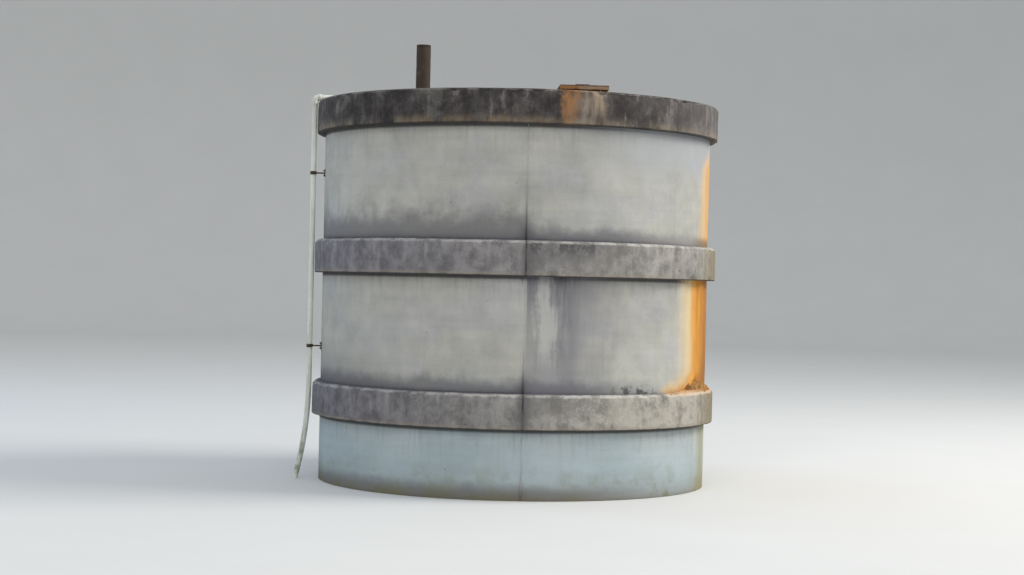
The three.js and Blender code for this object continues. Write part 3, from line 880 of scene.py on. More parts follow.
def nut_and_stud(width, stud_length):
    """A hexagon nut on a washer, with the end of its stud, standing on the level z = 0."""
    fastener = Assembly()
    half, washer, nut = width / math.sqrt(3), width * 0.12, width * 0.5
    wide = [(0, 0), (width * 0.66, 0), (width * 0.66, washer * 0.8), (width * 0.64, washer), (0, washer)]
    fastener.add(spun(wide, circle(24), closed=False))
    body = [(0, 0), (half * 0.96, 0), (half, nut * 0.15), (half, nut * 0.8), (half * 0.86, nut), (0, nut)]
    fastener.add(spun(body, circle(6), closed=False), Matrix.Translation((0, 0, washer * 0.8)))
    ridges = 7
    stud = [(0, 0)]
    for ridge in range(ridges):
        stud.append((width * 0.29, stud_length * ridge / ridges))
        stud.append((width * 0.25, stud_length * (ridge + 0.5) / ridges))
    stud += [(width * 0.24, stud_length), (0, stud_length)]
    fastener.add(spun(stud, circle(14), closed=False), Matrix.Translation((0, 0, washer * 0.4)))
    return fastener.solid()


def even_outline(outline):
    """Points along a closed outline of (radius, height, step) corners, each edge cut by its step.

    Gives the points and their outward directions.
    """
    points, outward = [], []
    for (r0, z0, step), (r1, z1, _) in zip(outline, outline[1:] + outline[:1]):
        run = np.array([r1 - r0, z1 - z0])
        distance = np.linalg.norm(run)
        pieces = max(1, round(distance / step))
        for part in range(pieces):
            points.append(np.array([r0, z0]) + run * part / pieces)
            outward.append(np.array([run[1], -run[0]]) / distance)
    outward = np.array(outward)
    softened = outward + np.roll(outward, 1, axis=0)
    return np.array(points), softened / np.linalg.norm(softened, axis=1)[:, None]


def seam_places(arc, step, chamfer):
    """Places along a quarter's arc: close together near both joints, then one step apart."""
    near = [SEAM_GAP, chamfer * 0.35, chamfer * 0.7, chamfer, chamfer * 1.5, chamfer * 2.4]
    count = max(2, round((arc - 2 * near[-1]) / step))
    between = np.linspace(near[-1], arc - near[-1], count + 1)
    return np.concatenate([near[:-1], between, [arc - n for n in near[-2::-1]]])


def edge_distance(points, sharp):
    """Distance of outline points from the nearest corner that chips."""
    if not sharp:
        return np.full(len(points), 1.0)
    gaps = np.linalg.norm(points[:, None, :] - np.array(sharp)[None, :, :], axis=-1)
    return gaps.min(axis=1)


def cast_depth(places, edge, noise, relief, chips):
    """How far a cast face lies behind its true place: gentle waves, and chips along edges."""
    wave = noise.layered(places, 2.2, 3) * relief + noise.layered(places + 9.1, 19.0, 2) * relief * 0.25
    near = np.exp(-np.square(edge / 0.017))
    chip = np.clip(noise.layered(places + 3.7, 9.0, 3) - 0.42, 0, 1) * 2.4
    nibble = np.clip(noise.layered(places + 5.3, 42.0, 2), 0, 1) * 0.4
    return np.maximum(relief * 0.6 - wave, 0) + chips * near * (chip + nibble)


def quarter_solid(quarter, outline, sharp, step, chamfer, noise, chips):
    """One quarter of a ring, its joints chamfered and its outer faces uneven."""
    points, outward = even_outline(outline)
    inner, outer = points[:, 0].min(), points[:, 0].max()
    arc = outer * math.pi / 2
    along = seam_places(arc, step, chamfer)
    azimuth = (along / outer + quarter * math.pi / 2)[:, None]
    radii, levels = points[None, :, 0], points[None, :, 1]
    places = round_places(azimuth, radii, levels)
    from_seam = np.minimum(along, arc - along)[:, None]
    ragged = 1 + 1.6 * np.clip(noise.layered(places + 1.9, 14.0, 3) - 0.1, 0, 1)
    bevel = np.maximum(0, chamfer * ragged - from_seam + SEAM_GAP)
    edge = np.minimum(edge_distance(points, sharp)[None, :], from_seam + 0.012)
    face = np.clip((radii - inner) / (outer - inner) * 3 - 0.5, 0, 1)
    depth = cast_depth(places, edge, noise, sizes().relief, chips) * face
    squeezed = inner + (radii - inner) * (outer - inner - bevel) / (outer - inner)
    vertices = round_places(azimuth, squeezed - depth * outward[:, 0], levels - depth * outward[:, 1])
    return vertices.reshape(-1, 3), tube_faces(*vertices.shape[:2])


def joint_solid(radius, base, top, chamfer, noise, recess):
    """Filler in the four upright joints of a ring, a little behind the face and crumbling."""
    filler = Assembly()
    # Points of the section: share of the joint's half width, and depth behind the face
    section = ((-1.0, 0.0), (-0.45, 0.0006), (0.45, 0.0006), (1.0, 0.0), (0.0, chamfer * 2))
    step = 0.012
    levels = np.linspace(base, top, max(2, round((top - base) / step)) + 1)
    for quarter in range(4):
        azimuth = quarter * math.pi / 2
        spots = round_places(azimuth, np.full(len(levels), radius), levels)
        lost = recess * (1 + 1.5 * np.clip(noise.layered(spots + 6.1, 9.0, 3), -0.5, 1))
        lost = lost + cast_depth(spots, np.full(len(levels), 1.0), noise, sizes().relief, 0.0)
        rows = []
        for offset, depth in section:
            turn = azimuth + offset * chamfer * 0.92 / radius
            rows.append(round_places(turn, radius - lost - depth, levels))
        grid = np.stack(rows, axis=1)
        filler.add((grid.reshape(-1, 3), tube_faces(*grid.shape[:2])))
    return filler.solid()


def place_ring(ring, shape, filler, finish, mortar):
    """The four quarters of a ring and the filler of their joints."""
    for quarter, side in enumerate(QUARTERS):
        node = f"{ring}_{side}"
        place_mesh(f"{node}_cast", quarter_solid(quarter, *shape), finish, [node])
    place_mesh(f"{ring}_joint_filler", joint_solid(*filler), mortar)


class TANK_OT_walls(Operator):
    """Builds the twelve wall panels and the filler of their joints"""

    bl_idname = "tank.walls"
    bl_label = "Walls"

    def execute(self, context):
        s = sizes()
        noise = Unevenness(s.seed)
        # Ledge, soffit, climb of dirt at the joints and of growth between them, and own marks
        lifts = {
            "wall_bottom": (0.0, LOWER_BAND[0], 0.1, 0.1, bottom_marks),
            "wall_middle": (LOWER_BAND[1], MIDDLE_BAND[0], 0.45, 0.12, middle_marks),
            "wall_top": (MIDDLE_BAND[1], RIM_BASE, 1.0, 1.0, top_marks),
        }
        # Height of each ledge, and how far the joints are black over it
        ledges = ((0.0, 0.1), (LOWER_BAND[1], 0.22), (MIDDLE_BAND[1], 0.42))
        mortar = joint_mortar("wall_mortar", ledges, least=0.1)
        chips, recess = s.chip_depth * 0.35, 0.0004
        for lift, look in lifts.items():
            finish = wall_concrete(lift, *look)
            base, top = heights(f"{lift}_front_right")
            outline = [(WALL_INNER, base, 0.06), (WALL_RADIUS, base, s.wall_step)]
            outline += [(WALL_RADIUS, top, 0.06), (WALL_INNER, top, 0.15)]
            shape = (outline, [], s.wall_step, s.wall_chamfer, noise, chips)
            filler = (WALL_RADIUS, base, top, s.wall_chamfer, noise, recess)
            place_ring(lift, shape, filler, finish, mortar)
        return {"FINISHED"}


class TANK_OT_bands(Operator):
    """Builds the eight segments of the two collar bands and the filler of their joints"""

    bl_idname = "tank.bands"
    bl_label = "Bands"

    def execute(self, context):
        s = sizes()
        noise = Unevenness(s.seed + 1)
        mortar = joint_mortar("band_mortar", (), least=0.82)
        recess = 0.0045
        for band in BANDS:
            base, top = heights(f"{band}_front_right")
            finish = band_concrete(band, base, top, band == "band_lower")
            outline = [
                (BAND_INNER, base, 0.012),
                (BAND_RADIUS - s.arris, base, 0.004),
                (BAND_RADIUS, base + s.arris, s.band_step),
                (BAND_RADIUS, top - s.band_chamfer, 0.006),
                (BAND_RADIUS - s.band_chamfer, top, 0.009),
                (BAND_INNER, top, 0.05),
            ]
            sharp = [(r, z) for r, z, _ in outline[1:5]]
            shape = (outline, sharp, s.band_step, s.joint_chamfer, noise, s.chip_depth)
            lowest, highest = base + s.arris * 2, top - s.band_chamfer
            filler = (BAND_RADIUS, lowest, highest, s.joint_chamfer, noise, recess)
            place_ring(band, shape, filler, finish, mortar)
        return {"FINISHED"}


def clear_of_holes(x, y, margin):
    """Whether a point of the lid lies outside every hole by a margin."""
    off_vent = math.hypot(x - VENT.x, y - VENT.y) > VENT_HOLE + margin
    off_drop = math.hypot(x - DROP.x, y - DROP.y) > DROP_HOLE + margin
    off_hatch = max(abs(x - HATCH.x), abs(y - HATCH.y)) > HATCH_OPENING + margin
    return off_vent and off_drop and off_hatch


def holed_disc(outer, spacing):
    """Triangles of the lid between an outer loop and its holes, with points strewn between.

    Gives the points, the triangles, and the numbers of the points of each loop.
    """
    holes = [
        circle(32) * VENT_HOLE + np.array([VENT.x, VENT.y]),
        circle(20) * DROP_HOLE + np.array([DROP.x, DROP.y]),
        square(10) * HATCH_OPENING + np.array([HATCH.x, HATCH.y]),
    ]
    points, edges, rings = [], [], []
    for loop in [outer, *holes]:
        ring = list(range(len(points), len(points) + len(loop)))
        points.extend(loop.tolist())
        edges.extend(zip(ring, ring[1:] + ring[:1]))
        rings.append(ring)
    limit = float(np.linalg.norm(outer[0]))
    for row, y in enumerate(np.arange(-limit, limit, spacing * math.sqrt(0.75))):
        for x in np.arange(-limit + (row % 2) * spacing / 2, limit, spacing):
            if math.hypot(x, y) < limit - spacing * 0.6 and clear_of_holes(x, y, spacing * 0.5):
                points.append([float(x), float(y)])
    found = delaunay_2d_cdt([Vector(p) for p in points], edges, [], 0, 1e-7)
    flat, triangles, sources = np.array([tuple(p) for p in found[0]]), found[2], found[3]
    number = {source: new for new, old in enumerate(sources) for source in old}
    kept = []
    for triangle in triangles:
        x, y = flat[list(triangle)].mean(axis=0)
        if math.hypot(x, y) < limit and clear_of_holes(x, y, margin=0.0):
            kept.append(tuple(triangle))
    return flat, kept, [[number[i] for i in ring] for ring in rings]


class TANK_OT_lid(Operator):
    """Builds the lid as one casting: slab, down-turned rim and the holes in it"""

    bl_idname = "tank.lid"
    bl_label = "Lid"
    around = 720

    def execute(self, context):
        noise = Unevenness(sizes().seed + 2)
        side, top_radius, under_radius = self.rim_side(noise)
        plan = circle(self.around)
        top_flat, top_faces, top_rings = holed_disc(plan * top_radius, spacing=0.028)
        under_flat, under_faces, under_rings = holed_disc(plan * under_radius, spacing=0.1)
        top = np.column_stack([top_flat, np.full(len(top_flat), LID_TOP)])
        hollow = noise.layered(top, 1.5, 4) * 0.0025 - 0.0012
        hollow = hollow + noise.layered(top + 4.0, 15.0, 2) * 0.0007
        hollow[[i for ring in top_rings[1:] for i in ring]] = 0
        top[:, 2] += np.minimum(hollow, 0)
        under = np.column_stack([under_flat, np.full(len(under_flat), WALL_TOP)])

        side_start, columns = len(top) + len(under), side.shape[1]
        faces = top_faces + counted_from(len(top), under_faces)
        side_faces = grid_faces(self.around, columns, close_columns=False, close_rows=True)
        faces += counted_from(side_start, side_faces)
        first = [side_start + i * columns for i in range(self.around)]
        last = [i + columns - 1 for i in first]
        lowered = counted_from(len(top), under_rings)
        faces += stitched(top_rings[0], first) + stitched(last, list(lowered[0]))
        for top_ring, under_ring in zip(top_rings[1:], lowered[1:]):
            faces += stitched(top_ring, under_ring)
        vertices = np.concatenate([top, under, side.reshape(-1, 3)])
        place_mesh("roof_lid_cast", (vertices, faces), lid_concrete(), ["roof_lid"])
        return {"FINISHED"}

    def rim_side(self, noise):
        """Rows of points from the rim's top edge down, round and up to the wall's top.

        Gives the rows without their ends, and the radii of both ends.
        """
        s = sizes()
        outline = [
            (BAND_RADIUS - s.rim_chamfer, LID_TOP, 0.006),
            (BAND_RADIUS, LID_TOP - s.rim_chamfer, s.band_step),
            (BAND_RADIUS, RIM_BASE + s.arris, 0.004),
            (BAND_RADIUS - s.arris, RIM_BASE, 0.012),
            (BAND_INNER, RIM_BASE, 0.06),
            (BAND_INNER, WALL_TOP, 10.0),
        ]
        section, outward = even_outline(outline)
        edge = edge_distance(section, [(r, z) for r, z, _ in outline[:4]])[1:-1]
        radii, levels = section[1:-1, 0], section[1:-1, 1]
        azimuth = np.linspace(0, 2 * math.pi, self.around, endpoint=False)[:, None] + math.pi / 2
        places = round_places(azimuth, radii, levels)
        depth = cast_depth(places, edge, noise, s.relief * 1.3, s.chip_depth)
        # The outline runs down the outside, so its outward directions point into the casting
        depth = depth * np.clip((radii - BAND_INNER) / 0.02, 0, 1)
        side = round_places(azimuth, radii + depth * outward[1:-1, 0], levels + depth * outward[1:-1, 1])
        return side, section[0, 0], section[-1, 0]


class TANK_OT_floor(Operator):
    """Finishes the floor slab inside the wall"""

    bl_idname = "tank.floor"
    bl_label = "Floor"

    def execute(self, context):
        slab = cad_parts["floor_slab"]
        slab.data.materials.clear()
        slab.data.materials.append(bpy.data.materials["wall_bottom"])
        return {"FINISHED"}


def crust_solid(under, over):
    """A closed crust between two grids of points of the same shape."""
    rows, columns = over.shape[:2]
    count = rows * columns
    sheet = grid_faces(rows, columns, close_columns=False)
    border = list(range(columns))
    border += [r * columns + columns - 1 for r in range(1, rows)]
    border += [(rows - 1) * columns + c for c in range(columns - 2, -1, -1)]
    border += [r * columns for r in range(rows - 2, 0, -1)]
    faces = sheet + counted_from(count, sheet) + stitched(border, [count + i for i in border])
    return np.concatenate([over.reshape(-1, 3), under.reshape(-1, 3)]), faces


class TANK_OT_leak_crust(Operator):
    """Builds the mineral crust of the leak along its joint and on the ledge below"""

    bl_idname = "tank.leak_crust"
    bl_label = "Leak crust"

    def execute(self, context):
        noise = Unevenness(sizes().seed + 3)
        finish = iron_crust()
        above_lower, above_middle = LOWER_BAND[1] + 0.004, MIDDLE_BAND[1] + 0.004
        crusts = {
            "leak_crust_middle": self.joint_crust(noise, above_lower, MIDDLE_BAND[0] - 0.004),
            "leak_crust_top": self.joint_crust(noise, above_middle, MIDDLE_BAND[1] + 0.56),
        }
        for name, solid in crusts.items():
            place_mesh(name, solid, finish)
        place_mesh("leak_crust_ledge", self.ledge_crust(noise), finish)
        return {"FINISHED"}

    def joint_crust(self, noise, base, top):
        """Crust that narrows up along the right-hand joint."""
        joint = math.pi / 2
        levels = np.linspace(base, top, 110)[:, None]
        share = np.linspace(-1, 1, 25)[None, :]
        line = round_places(joint, WALL_RADIUS, levels)
        width = 0.035 + 0.025 * noise.layered(line, 6.0, 3) + 0.03 * (top - levels) / (top - base)
        ends = np.clip((top - levels) / 0.12 + 0.2, 0, 1)
        azimuth = joint + share * width / WALL_RADIUS
        places = round_places(azimuth, WALL_RADIUS, levels)
        lumps = np.maximum(0.0055 + 0.006 * noise.layered(places + 2.2, 34.0, 3), 0.001)
        height = lumps * np.sqrt(1 - share**2) * ends - 0.0045 * (1 - ends) - 0.002
        over = round_places(azimuth, WALL_RADIUS + height, levels)
        return crust_solid(round_places(azimuth, WALL_RADIUS - 0.012, levels), over)

    def ledge_crust(self, noise):
        """Crust along the lower band's ledge, with a heap left of the joint."""
        ledge, start, end = LOWER_BAND[1], math.radians(44.5), math.radians(112.0)
        heap_azimuth, heap_width, heap_height = math.radians(66.0), math.radians(10.0), 0.088
        azimuth = np.linspace(start, end, 260)[:, None]
        inner, outer = WALL_RADIUS - 0.006, BAND_RADIUS - sizes().band_chamfer - 0.002
        radii = np.linspace(inner, outer, 12)[None, :]
        places = round_places(azimuth, radii, ledge)
        ends = np.clip(np.minimum(azimuth - start, end - azimuth) / math.radians(6), 0, 1)
        slope = np.clip((outer - radii) / (outer - inner), 0, 1)
        lumps = np.maximum(0.006 + 0.008 * noise.layered(places + 8.8, 22.0, 3), 0.0008)
        heap = heap_height * np.exp(-(np.abs((azimuth - heap_azimuth) / heap_width) ** 3))
        crumbs = noise.layered(places + 3.3, 21.0, 4)
        heap = heap * (0.35 + 0.65 * slope**0.8) * np.clip(slope * 4, 0, 1) * (0.95 + 0.5 * crumbs)
        height = (lumps * slope**0.7 + heap) * ends - 0.001
        over = round_places(azimuth, radii, ledge + height)
        return crust_solid(round_places(azimuth, radii, ledge - 0.006), over)


class TANK_OT_vent(Operator):
    """Builds the open steel vent pipe and the mortar fillet at its foot"""

    bl_idname = "tank.vent"
    bl_label = "Vent pipe"

    def execute(self, context):
        noise = Unevenness(sizes().seed + 4)
        base, top = heights("vent_pipe")
        axis = np.array([VENT.x, VENT.y, 0])
        outer, wall, lip = VENT_RADIUS, 0.006, 0.0016
        thread_pitch, thread_length, thread_depth = 0.0032, 0.028, 0.0011
        outline = [(outer - wall, base), (outer, base)]
        for level in np.linspace(base + 0.02, top - thread_length, 60):
            outline.append((outer, level))
        for turn in range(1, 8):
            level = top - thread_length + turn * thread_pitch
            outline += [(outer - thread_depth, level), (outer, level + thread_pitch / 2)]
        outline += [(outer - lip * 0.3, top - lip), (outer - lip, top), (outer - wall + lip, top)]
        outline += [(outer - wall, top - lip), (outer - wall, top - 0.15)]
        vertices, faces = spun(outline, circle(72))
        pitting = np.clip(noise.layered(vertices + 1.3, 40.0, 3), 0, 1) * 0.0012
        distance = np.linalg.norm(vertices[:, :2], axis=1)
        shrunk = 1 - pitting / distance * (vertices[:, 2] < top - 0.003)
        vertices[:, :2] *= shrunk[:, None]
        finish = rusty_steel("vent_steel", dark_above=3.2)
        place_mesh("vent_pipe_rusted", (vertices + axis, faces), finish, ["vent_pipe"])

        foot = outer + 0.0006
        rise = ((0, -0.004), (0.037, -0.004), (0.033, 0.002), (0.017, 0.009), (0.0055, 0.021), (0, 0.022))
        fillet = [(foot + out, LID_TOP + up) for out, up in rise]
        vertices, faces = spun(fillet, circle(64))
        vertices = noise.moved(vertices + axis, 30.0, 0.0025)
        lid = bpy.data.materials["lid_casting"]
        place_mesh("vent_mortar_fillet", (vertices, faces), lid)
        return {"FINISHED"}


def weld_bead(start, end, radius):
    """A rippled weld bead between two points."""
    start, end = np.asarray(start, float), np.asarray(end, float)
    distance = np.linalg.norm(end - start)
    share = np.linspace(0, 1, max(6, round(distance / 0.002)))
    ripple = radius * (1 + 0.16 * np.sin(share * distance / 0.0045 * 2 * math.pi))
    ripple[[0, -1]] *= 0.3
    across = np.cross((end - start) / distance, [0.31, 0.77, 0.55])
    across /= np.linalg.norm(across)
    return swept(start + (end - start) * share[:, None], ripple, across, around=8)


class TANK_OT_hatch(Operator):
    """Builds the hatch: angle frame with its anchor nuts, folded cover and rod handle"""

    bl_idname = "tank.hatch"
    bl_label = "Hatch"
    steel_thickness = 0.006

    def execute(self, context):
        noise = Unevenness(sizes().seed + 5)
        steel = rusty_steel("hatch_steel", caked=True)
        centre = np.array([HATCH.x, HATCH.y, 0])
        pieces = {
            "hatch_frame_rusted": ("hatch_frame", self.frame_solid(noise, centre)),
            "hatch_cover_rusted": ("hatch_cover", self.cover_solid(noise, centre)),
            "hatch_handle_rod": ("hatch_handle", self.handle_solid()),
        }
        for name, (node, solid) in pieces.items():
            place_mesh(name, solid, steel, [node])
        place_mesh("hatch_weld_beads", self.weld_beads(centre), steel)
        place_mesh("hatch_anchor_nuts", self.anchor_nuts(), steel, smooth_angle=28.0)
        return {"FINISHED"}

    def frame_solid(self, noise, centre):
        """An angle frame: a flange on the lid and an upright leg round the opening."""
        base, rise = heights("hatch_frame")
        root, flange = HATCH_OPENING + self.steel_thickness, base + self.steel_thickness
        angle = [
            (HATCH_OPENING, base),
            (HATCH_HALF - 0.001, base),
            (HATCH_HALF, base + 0.001),
            (HATCH_HALF, flange - 0.002),
            (HATCH_HALF - 0.002, flange),
            (root + 0.02, flange),
            (root + 0.005, flange),
            (root + 0.0015, flange + 0.0015),
            (root, flange + 0.005),
            (root, rise - 0.001),
            (root - 0.001, rise),
            (HATCH_OPENING + 0.001, rise),
            (HATCH_OPENING, rise - 0.001),
        ]
        vertices, faces = spun(angle, square(24))
        vertices = noise.moved(vertices + centre, 26.0, 0.0007)
        vertices[:, 2] = np.clip(vertices[:, 2], base, rise)
        return vertices, faces

    def cover_solid(self, noise, centre):
        """A plate with its edges folded down, a little sunk and eaten away at the skirt."""
        skirt, top = heights("hatch_cover")
        half, thickness, fold = COVER_HALF, 0.005, 0.006
        under = top - thickness
        cover = [(half * n / 12, under) for n in range(11)]
        cover += [(half - thickness - 0.002, under), (half - thickness, under - 0.002)]
        cover += [(half - thickness, skirt), (half - 0.001, skirt), (half, skirt + 0.001)]
        cover += [(half, top - fold), (half - fold * 0.29, top - fold * 0.29), (half - fold, top)]
        cover += [(half * n / 12, top) for n in range(11, -1, -1)]
        vertices, faces = spun(cover, square(20), closed=False)
        x, y = vertices[:, 0] / HATCH_OPENING, vertices[:, 1] / HATCH_OPENING
        bowl = np.clip(1 - x**2, 0, 1) * np.clip(1 - y**2, 0, 1)
        dents = 0.0012 * noise.layered(vertices + centre, 9.0, 2)
        vertices[:, 2] -= bowl * (0.0022 + dents)
        eaten = np.clip(noise.layered(vertices + 4.4, 30.0, 3), 0, 1) * 0.004
        vertices[:, 2] += eaten * (vertices[:, 2] < skirt + 0.002)
        return vertices + centre, faces

    def handle_sizes(self):
        """The rod's radius, half the span between its legs, and its lowest and highest point."""
        low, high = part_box("hatch_handle")
        rod = (high.y - low.y) / 2
        return rod, (high.x - low.x) / 2 - rod, low.z, high.z

    def handle_solid(self):
        rod, half_span, low, high = self.handle_sizes()
        crown, bend = high - rod, rod * 2.5
        start, corner, end = (-half_span, crown - bend), (-half_span, crown), (bend - half_span, crown)
        left = bent_route(start, corner, end, steps=9)
        route = [(-half_span, low - 0.003), *left.tolist()]
        route += [(-x, z) for x, z in reversed(route)]
        points = [(HATCH.x + x, HATCH.y, z) for x, z in route]
        return swept(points, rod, (0, 1, 0), around=20)

    def weld_beads(self, centre):
        """Beads in the frame's corners and round the handle's feet."""
        beads = Assembly()
        root, skirt = HATCH_OPENING + self.steel_thickness, heights("hatch_cover")[0]
        flange = heights("hatch_frame")[0] + self.steel_thickness
        level = np.array([0, 0, flange])
        for corner in square(1):
            inner = centre + np.append(corner * root, 0)
            outer = centre + np.append(corner * HATCH_HALF * 0.985, 0)
            beads.add(weld_bead(inner + level, inner + [0, 0, skirt + 0.01], radius=0.003))
            beads.add(weld_bead(inner + level, outer + level, radius=0.0024))
        rod, half_span, low, _ = self.handle_sizes()
        collar = [(rod - 0.001, -0.002), (rod + 0.004, -0.002), (rod + 0.0025, 0.002), (rod - 0.001, 0.004)]
        for side in (-half_span, half_span):
            at = Matrix.Translation((HATCH.x + side, HATCH.y, low - 0.0015))
            beads.add(spun(collar, circle(24)), at)
        return beads.solid()

    def anchor_nuts(self):
        """Two nuts along each side of the frame's flange."""
        nuts = Assembly()
        fastener = nut_and_stud(width=0.016, stud_length=0.017)
        spread, flange = HATCH_HALF - 0.014, heights("hatch_frame")[0] + self.steel_thickness
        for along in (-0.62, 0.62):
            for x, y in ((along, -1), (along, 1), (-1, along), (1, along)):
                at = Matrix.Translation((HATCH.x + x * spread, HATCH.y + y * spread, flange))
                nuts.add(fastener, at @ Matrix.Rotation(along * 2.1 + x, 4, "Z"))
        return nuts.solid()


def pipe_place(radius, level):
    """A point in the upright plane of the fill pipe."""
    return (radius * math.sin(PIPE_AZIMUTH), -radius * math.cos(PIPE_AZIMUTH), level)


def elbow_solid(start, corner, end):
    """A bend with a thicker socket at each end."""
    s = sizes()
    bend = bent_route(start, corner, end, steps=17)
    socket, lip = 0.014, 0.0015
    lead = (bend[0] - bend[1]) / np.linalg.norm(bend[0] - bend[1])
    tail = (bend[-1] - bend[-2]) / np.linalg.norm(bend[-1] - bend[-2])
    route = [bend[0] + lead * socket, bend[0] + lead * (socket - lip), *bend]
    route += [bend[-1] + tail * (socket - lip), bend[-1] + tail * socket]
    radii = np.full(len(route), s.pipe_radius + 0.0032)
    radii[1:5] = radii[-5:-1] = s.socket_radius
    radii[[0, -1]] = s.socket_radius - 0.0012
    return swept(route, radii, PIPE_ACROSS, around=32)


class TANK_OT_fill_pipe(Operator):
    """Builds the white plastic fill pipe, its elbows and its wall brackets"""

    bl_idname = "tank.fill_pipe"
    bl_label = "Fill pipe"

    def execute(self, context):
        s = sizes()
        orbit, run, bend = s.pipe_orbit, s.pipe_run_height, s.elbow_bend
        upright_end, run_start = pipe_place(orbit, run - bend), pipe_place(orbit - bend, run)
        run_end, drop_top = pipe_place(DROP_RADIUS + bend, run), pipe_place(DROP_RADIUS, run - bend)
        drop_end = pipe_place(DROP_RADIUS, heights("fill_pipe_drop")[0])
        pieces = {
            "fill_pipe_riser": self.riser(),
            "fill_pipe_top_elbow": elbow_solid(upright_end, pipe_place(orbit, run), run_start),
            "fill_pipe_drop_elbow": elbow_solid(run_end, pipe_place(DROP_RADIUS, run), drop_top),
            "fill_pipe_run": self.tube(run_start, run_end),
            "fill_pipe_drop": self.tube(drop_top, drop_end),
        }
        plastic = white_plastic()
        for node, solid in pieces.items():
            place_mesh(f"{node}_tube", solid, plastic, [node])
        steel = rusty_steel("bracket_steel")
        for node in ("pipe_bracket_lower", "pipe_bracket_upper"):
            solid = self.bracket(sum(heights(node)) / 2)
            place_mesh(f"{node}_rusted", solid, steel, [node], smooth_angle=30.0)
        return {"FINISHED"}

    def riser(self):
        """The pipe up the wall, which bows out near the ground."""
        s = sizes()
        below, around = 0.04, 32
        start = pipe_place(s.pipe_orbit + s.foot_kick, -below)
        corner, end = pipe_place(s.pipe_orbit, s.foot_bend), pipe_place(s.pipe_orbit, s.foot_top)
        foot = bent_route(start, corner, end, steps=60)
        foot = foot[foot[:, 2] > 0.012]
        levels = np.linspace(s.foot_top, s.pipe_run_height - s.elbow_bend, 40)[1:]
        upright = [pipe_place(s.pipe_orbit, level) for level in levels]
        vertices, faces = swept([*foot, *upright], s.pipe_radius, PIPE_ACROSS, around)
        # The lowest ring slides down along the pipe to end level with the ground
        slope = (foot[0] - foot[1]) / (foot[1][2] - foot[0][2])
        vertices[:around] += slope * vertices[:around, 2:]
        return vertices, faces

    def tube(self, start, end):
        return swept(np.linspace(start, end, 12), sizes().pipe_radius, PIPE_ACROSS, around=32)

    def bracket(self, level):
        """Wall plate with two nuts, threaded stem and a two-part ring with its bolts."""
        s = sizes()
        made = Assembly()
        out, across, up = Vector(pipe_place(1.0, 0.0)), Vector(PIPE_ACROSS), Vector((0, 0, 1))
        # Local Z points away from the tank and local X up
        turn = Matrix((up, out.cross(up), out)).transposed().to_4x4()
        face, half, thick = WALL_RADIUS - 0.001, 0.03, 0.005
        at_wall = Matrix.Translation(out * face + up * level) @ turn
        plate = [(0, 0), (half, 0), (half, thick - 0.001), (half - 0.001, thick), (0, thick)]
        corners = square(8)
        corners = corners * np.minimum(1.0, 1.28 / np.linalg.norm(corners, axis=1))[:, None]
        made.add(spun(plate, corners, closed=False), at_wall)
        plate_nut = nut_and_stud(width=0.011, stud_length=0.01)
        for offset in (-0.019, 0.019):
            made.add(plate_nut, at_wall @ Matrix.Translation((offset, 0, thick - 0.0003)))
        stem, ridges = [(0, thick - 0.001)], 20
        stem_end = s.pipe_orbit - face - s.pipe_radius - 0.002
        for ridge in range(ridges):
            start = thick - 0.001 + (stem_end - thick) * ridge / ridges
            stem += [(0.006, start), (0.0052, start + 0.0015)]
        stem.append((0, stem_end))
        made.add(spun(stem, circle(18), closed=False), at_wall)

        inner, outer, tall = s.pipe_radius + 0.0003, s.pipe_radius + 0.0043, 0.0125
        strap = [(inner, -tall), (outer - 0.001, -tall), (outer, 0.001 - tall)]
        strap += [(outer, tall - 0.001), (outer - 0.001, tall), (inner, tall)]
        at_pipe = Matrix.Translation(out * s.pipe_orbit + up * level)
        made.add(spun(strap, circle(48)), at_pipe)
        upright = Matrix((out, across, up)).transposed().to_4x4()
        tab = [(0, -0.0115), (1, -0.0115), (1, 0.0115), (0, 0.0115)]
        vertices, faces = spun(tab, square(3), closed=False)
        ear = (vertices * np.array([0.0019, 0.0085, 1.0]), faces)
        ring_nut = nut_and_stud(width=0.0085, stud_length=0.008)
        for side in (-1, 1):
            for gap in (-1, 1):
                beside = Matrix.Translation(across * side * (outer + 0.007) + out * gap * 0.0035)
                made.add(ear, at_pipe @ beside @ upright)
            bolt = Matrix.Translation(across * side * (outer + 0.0095) + out * 0.0054)
            made.add(ring_nut, at_pipe @ bolt @ turn)
        return made.solid()


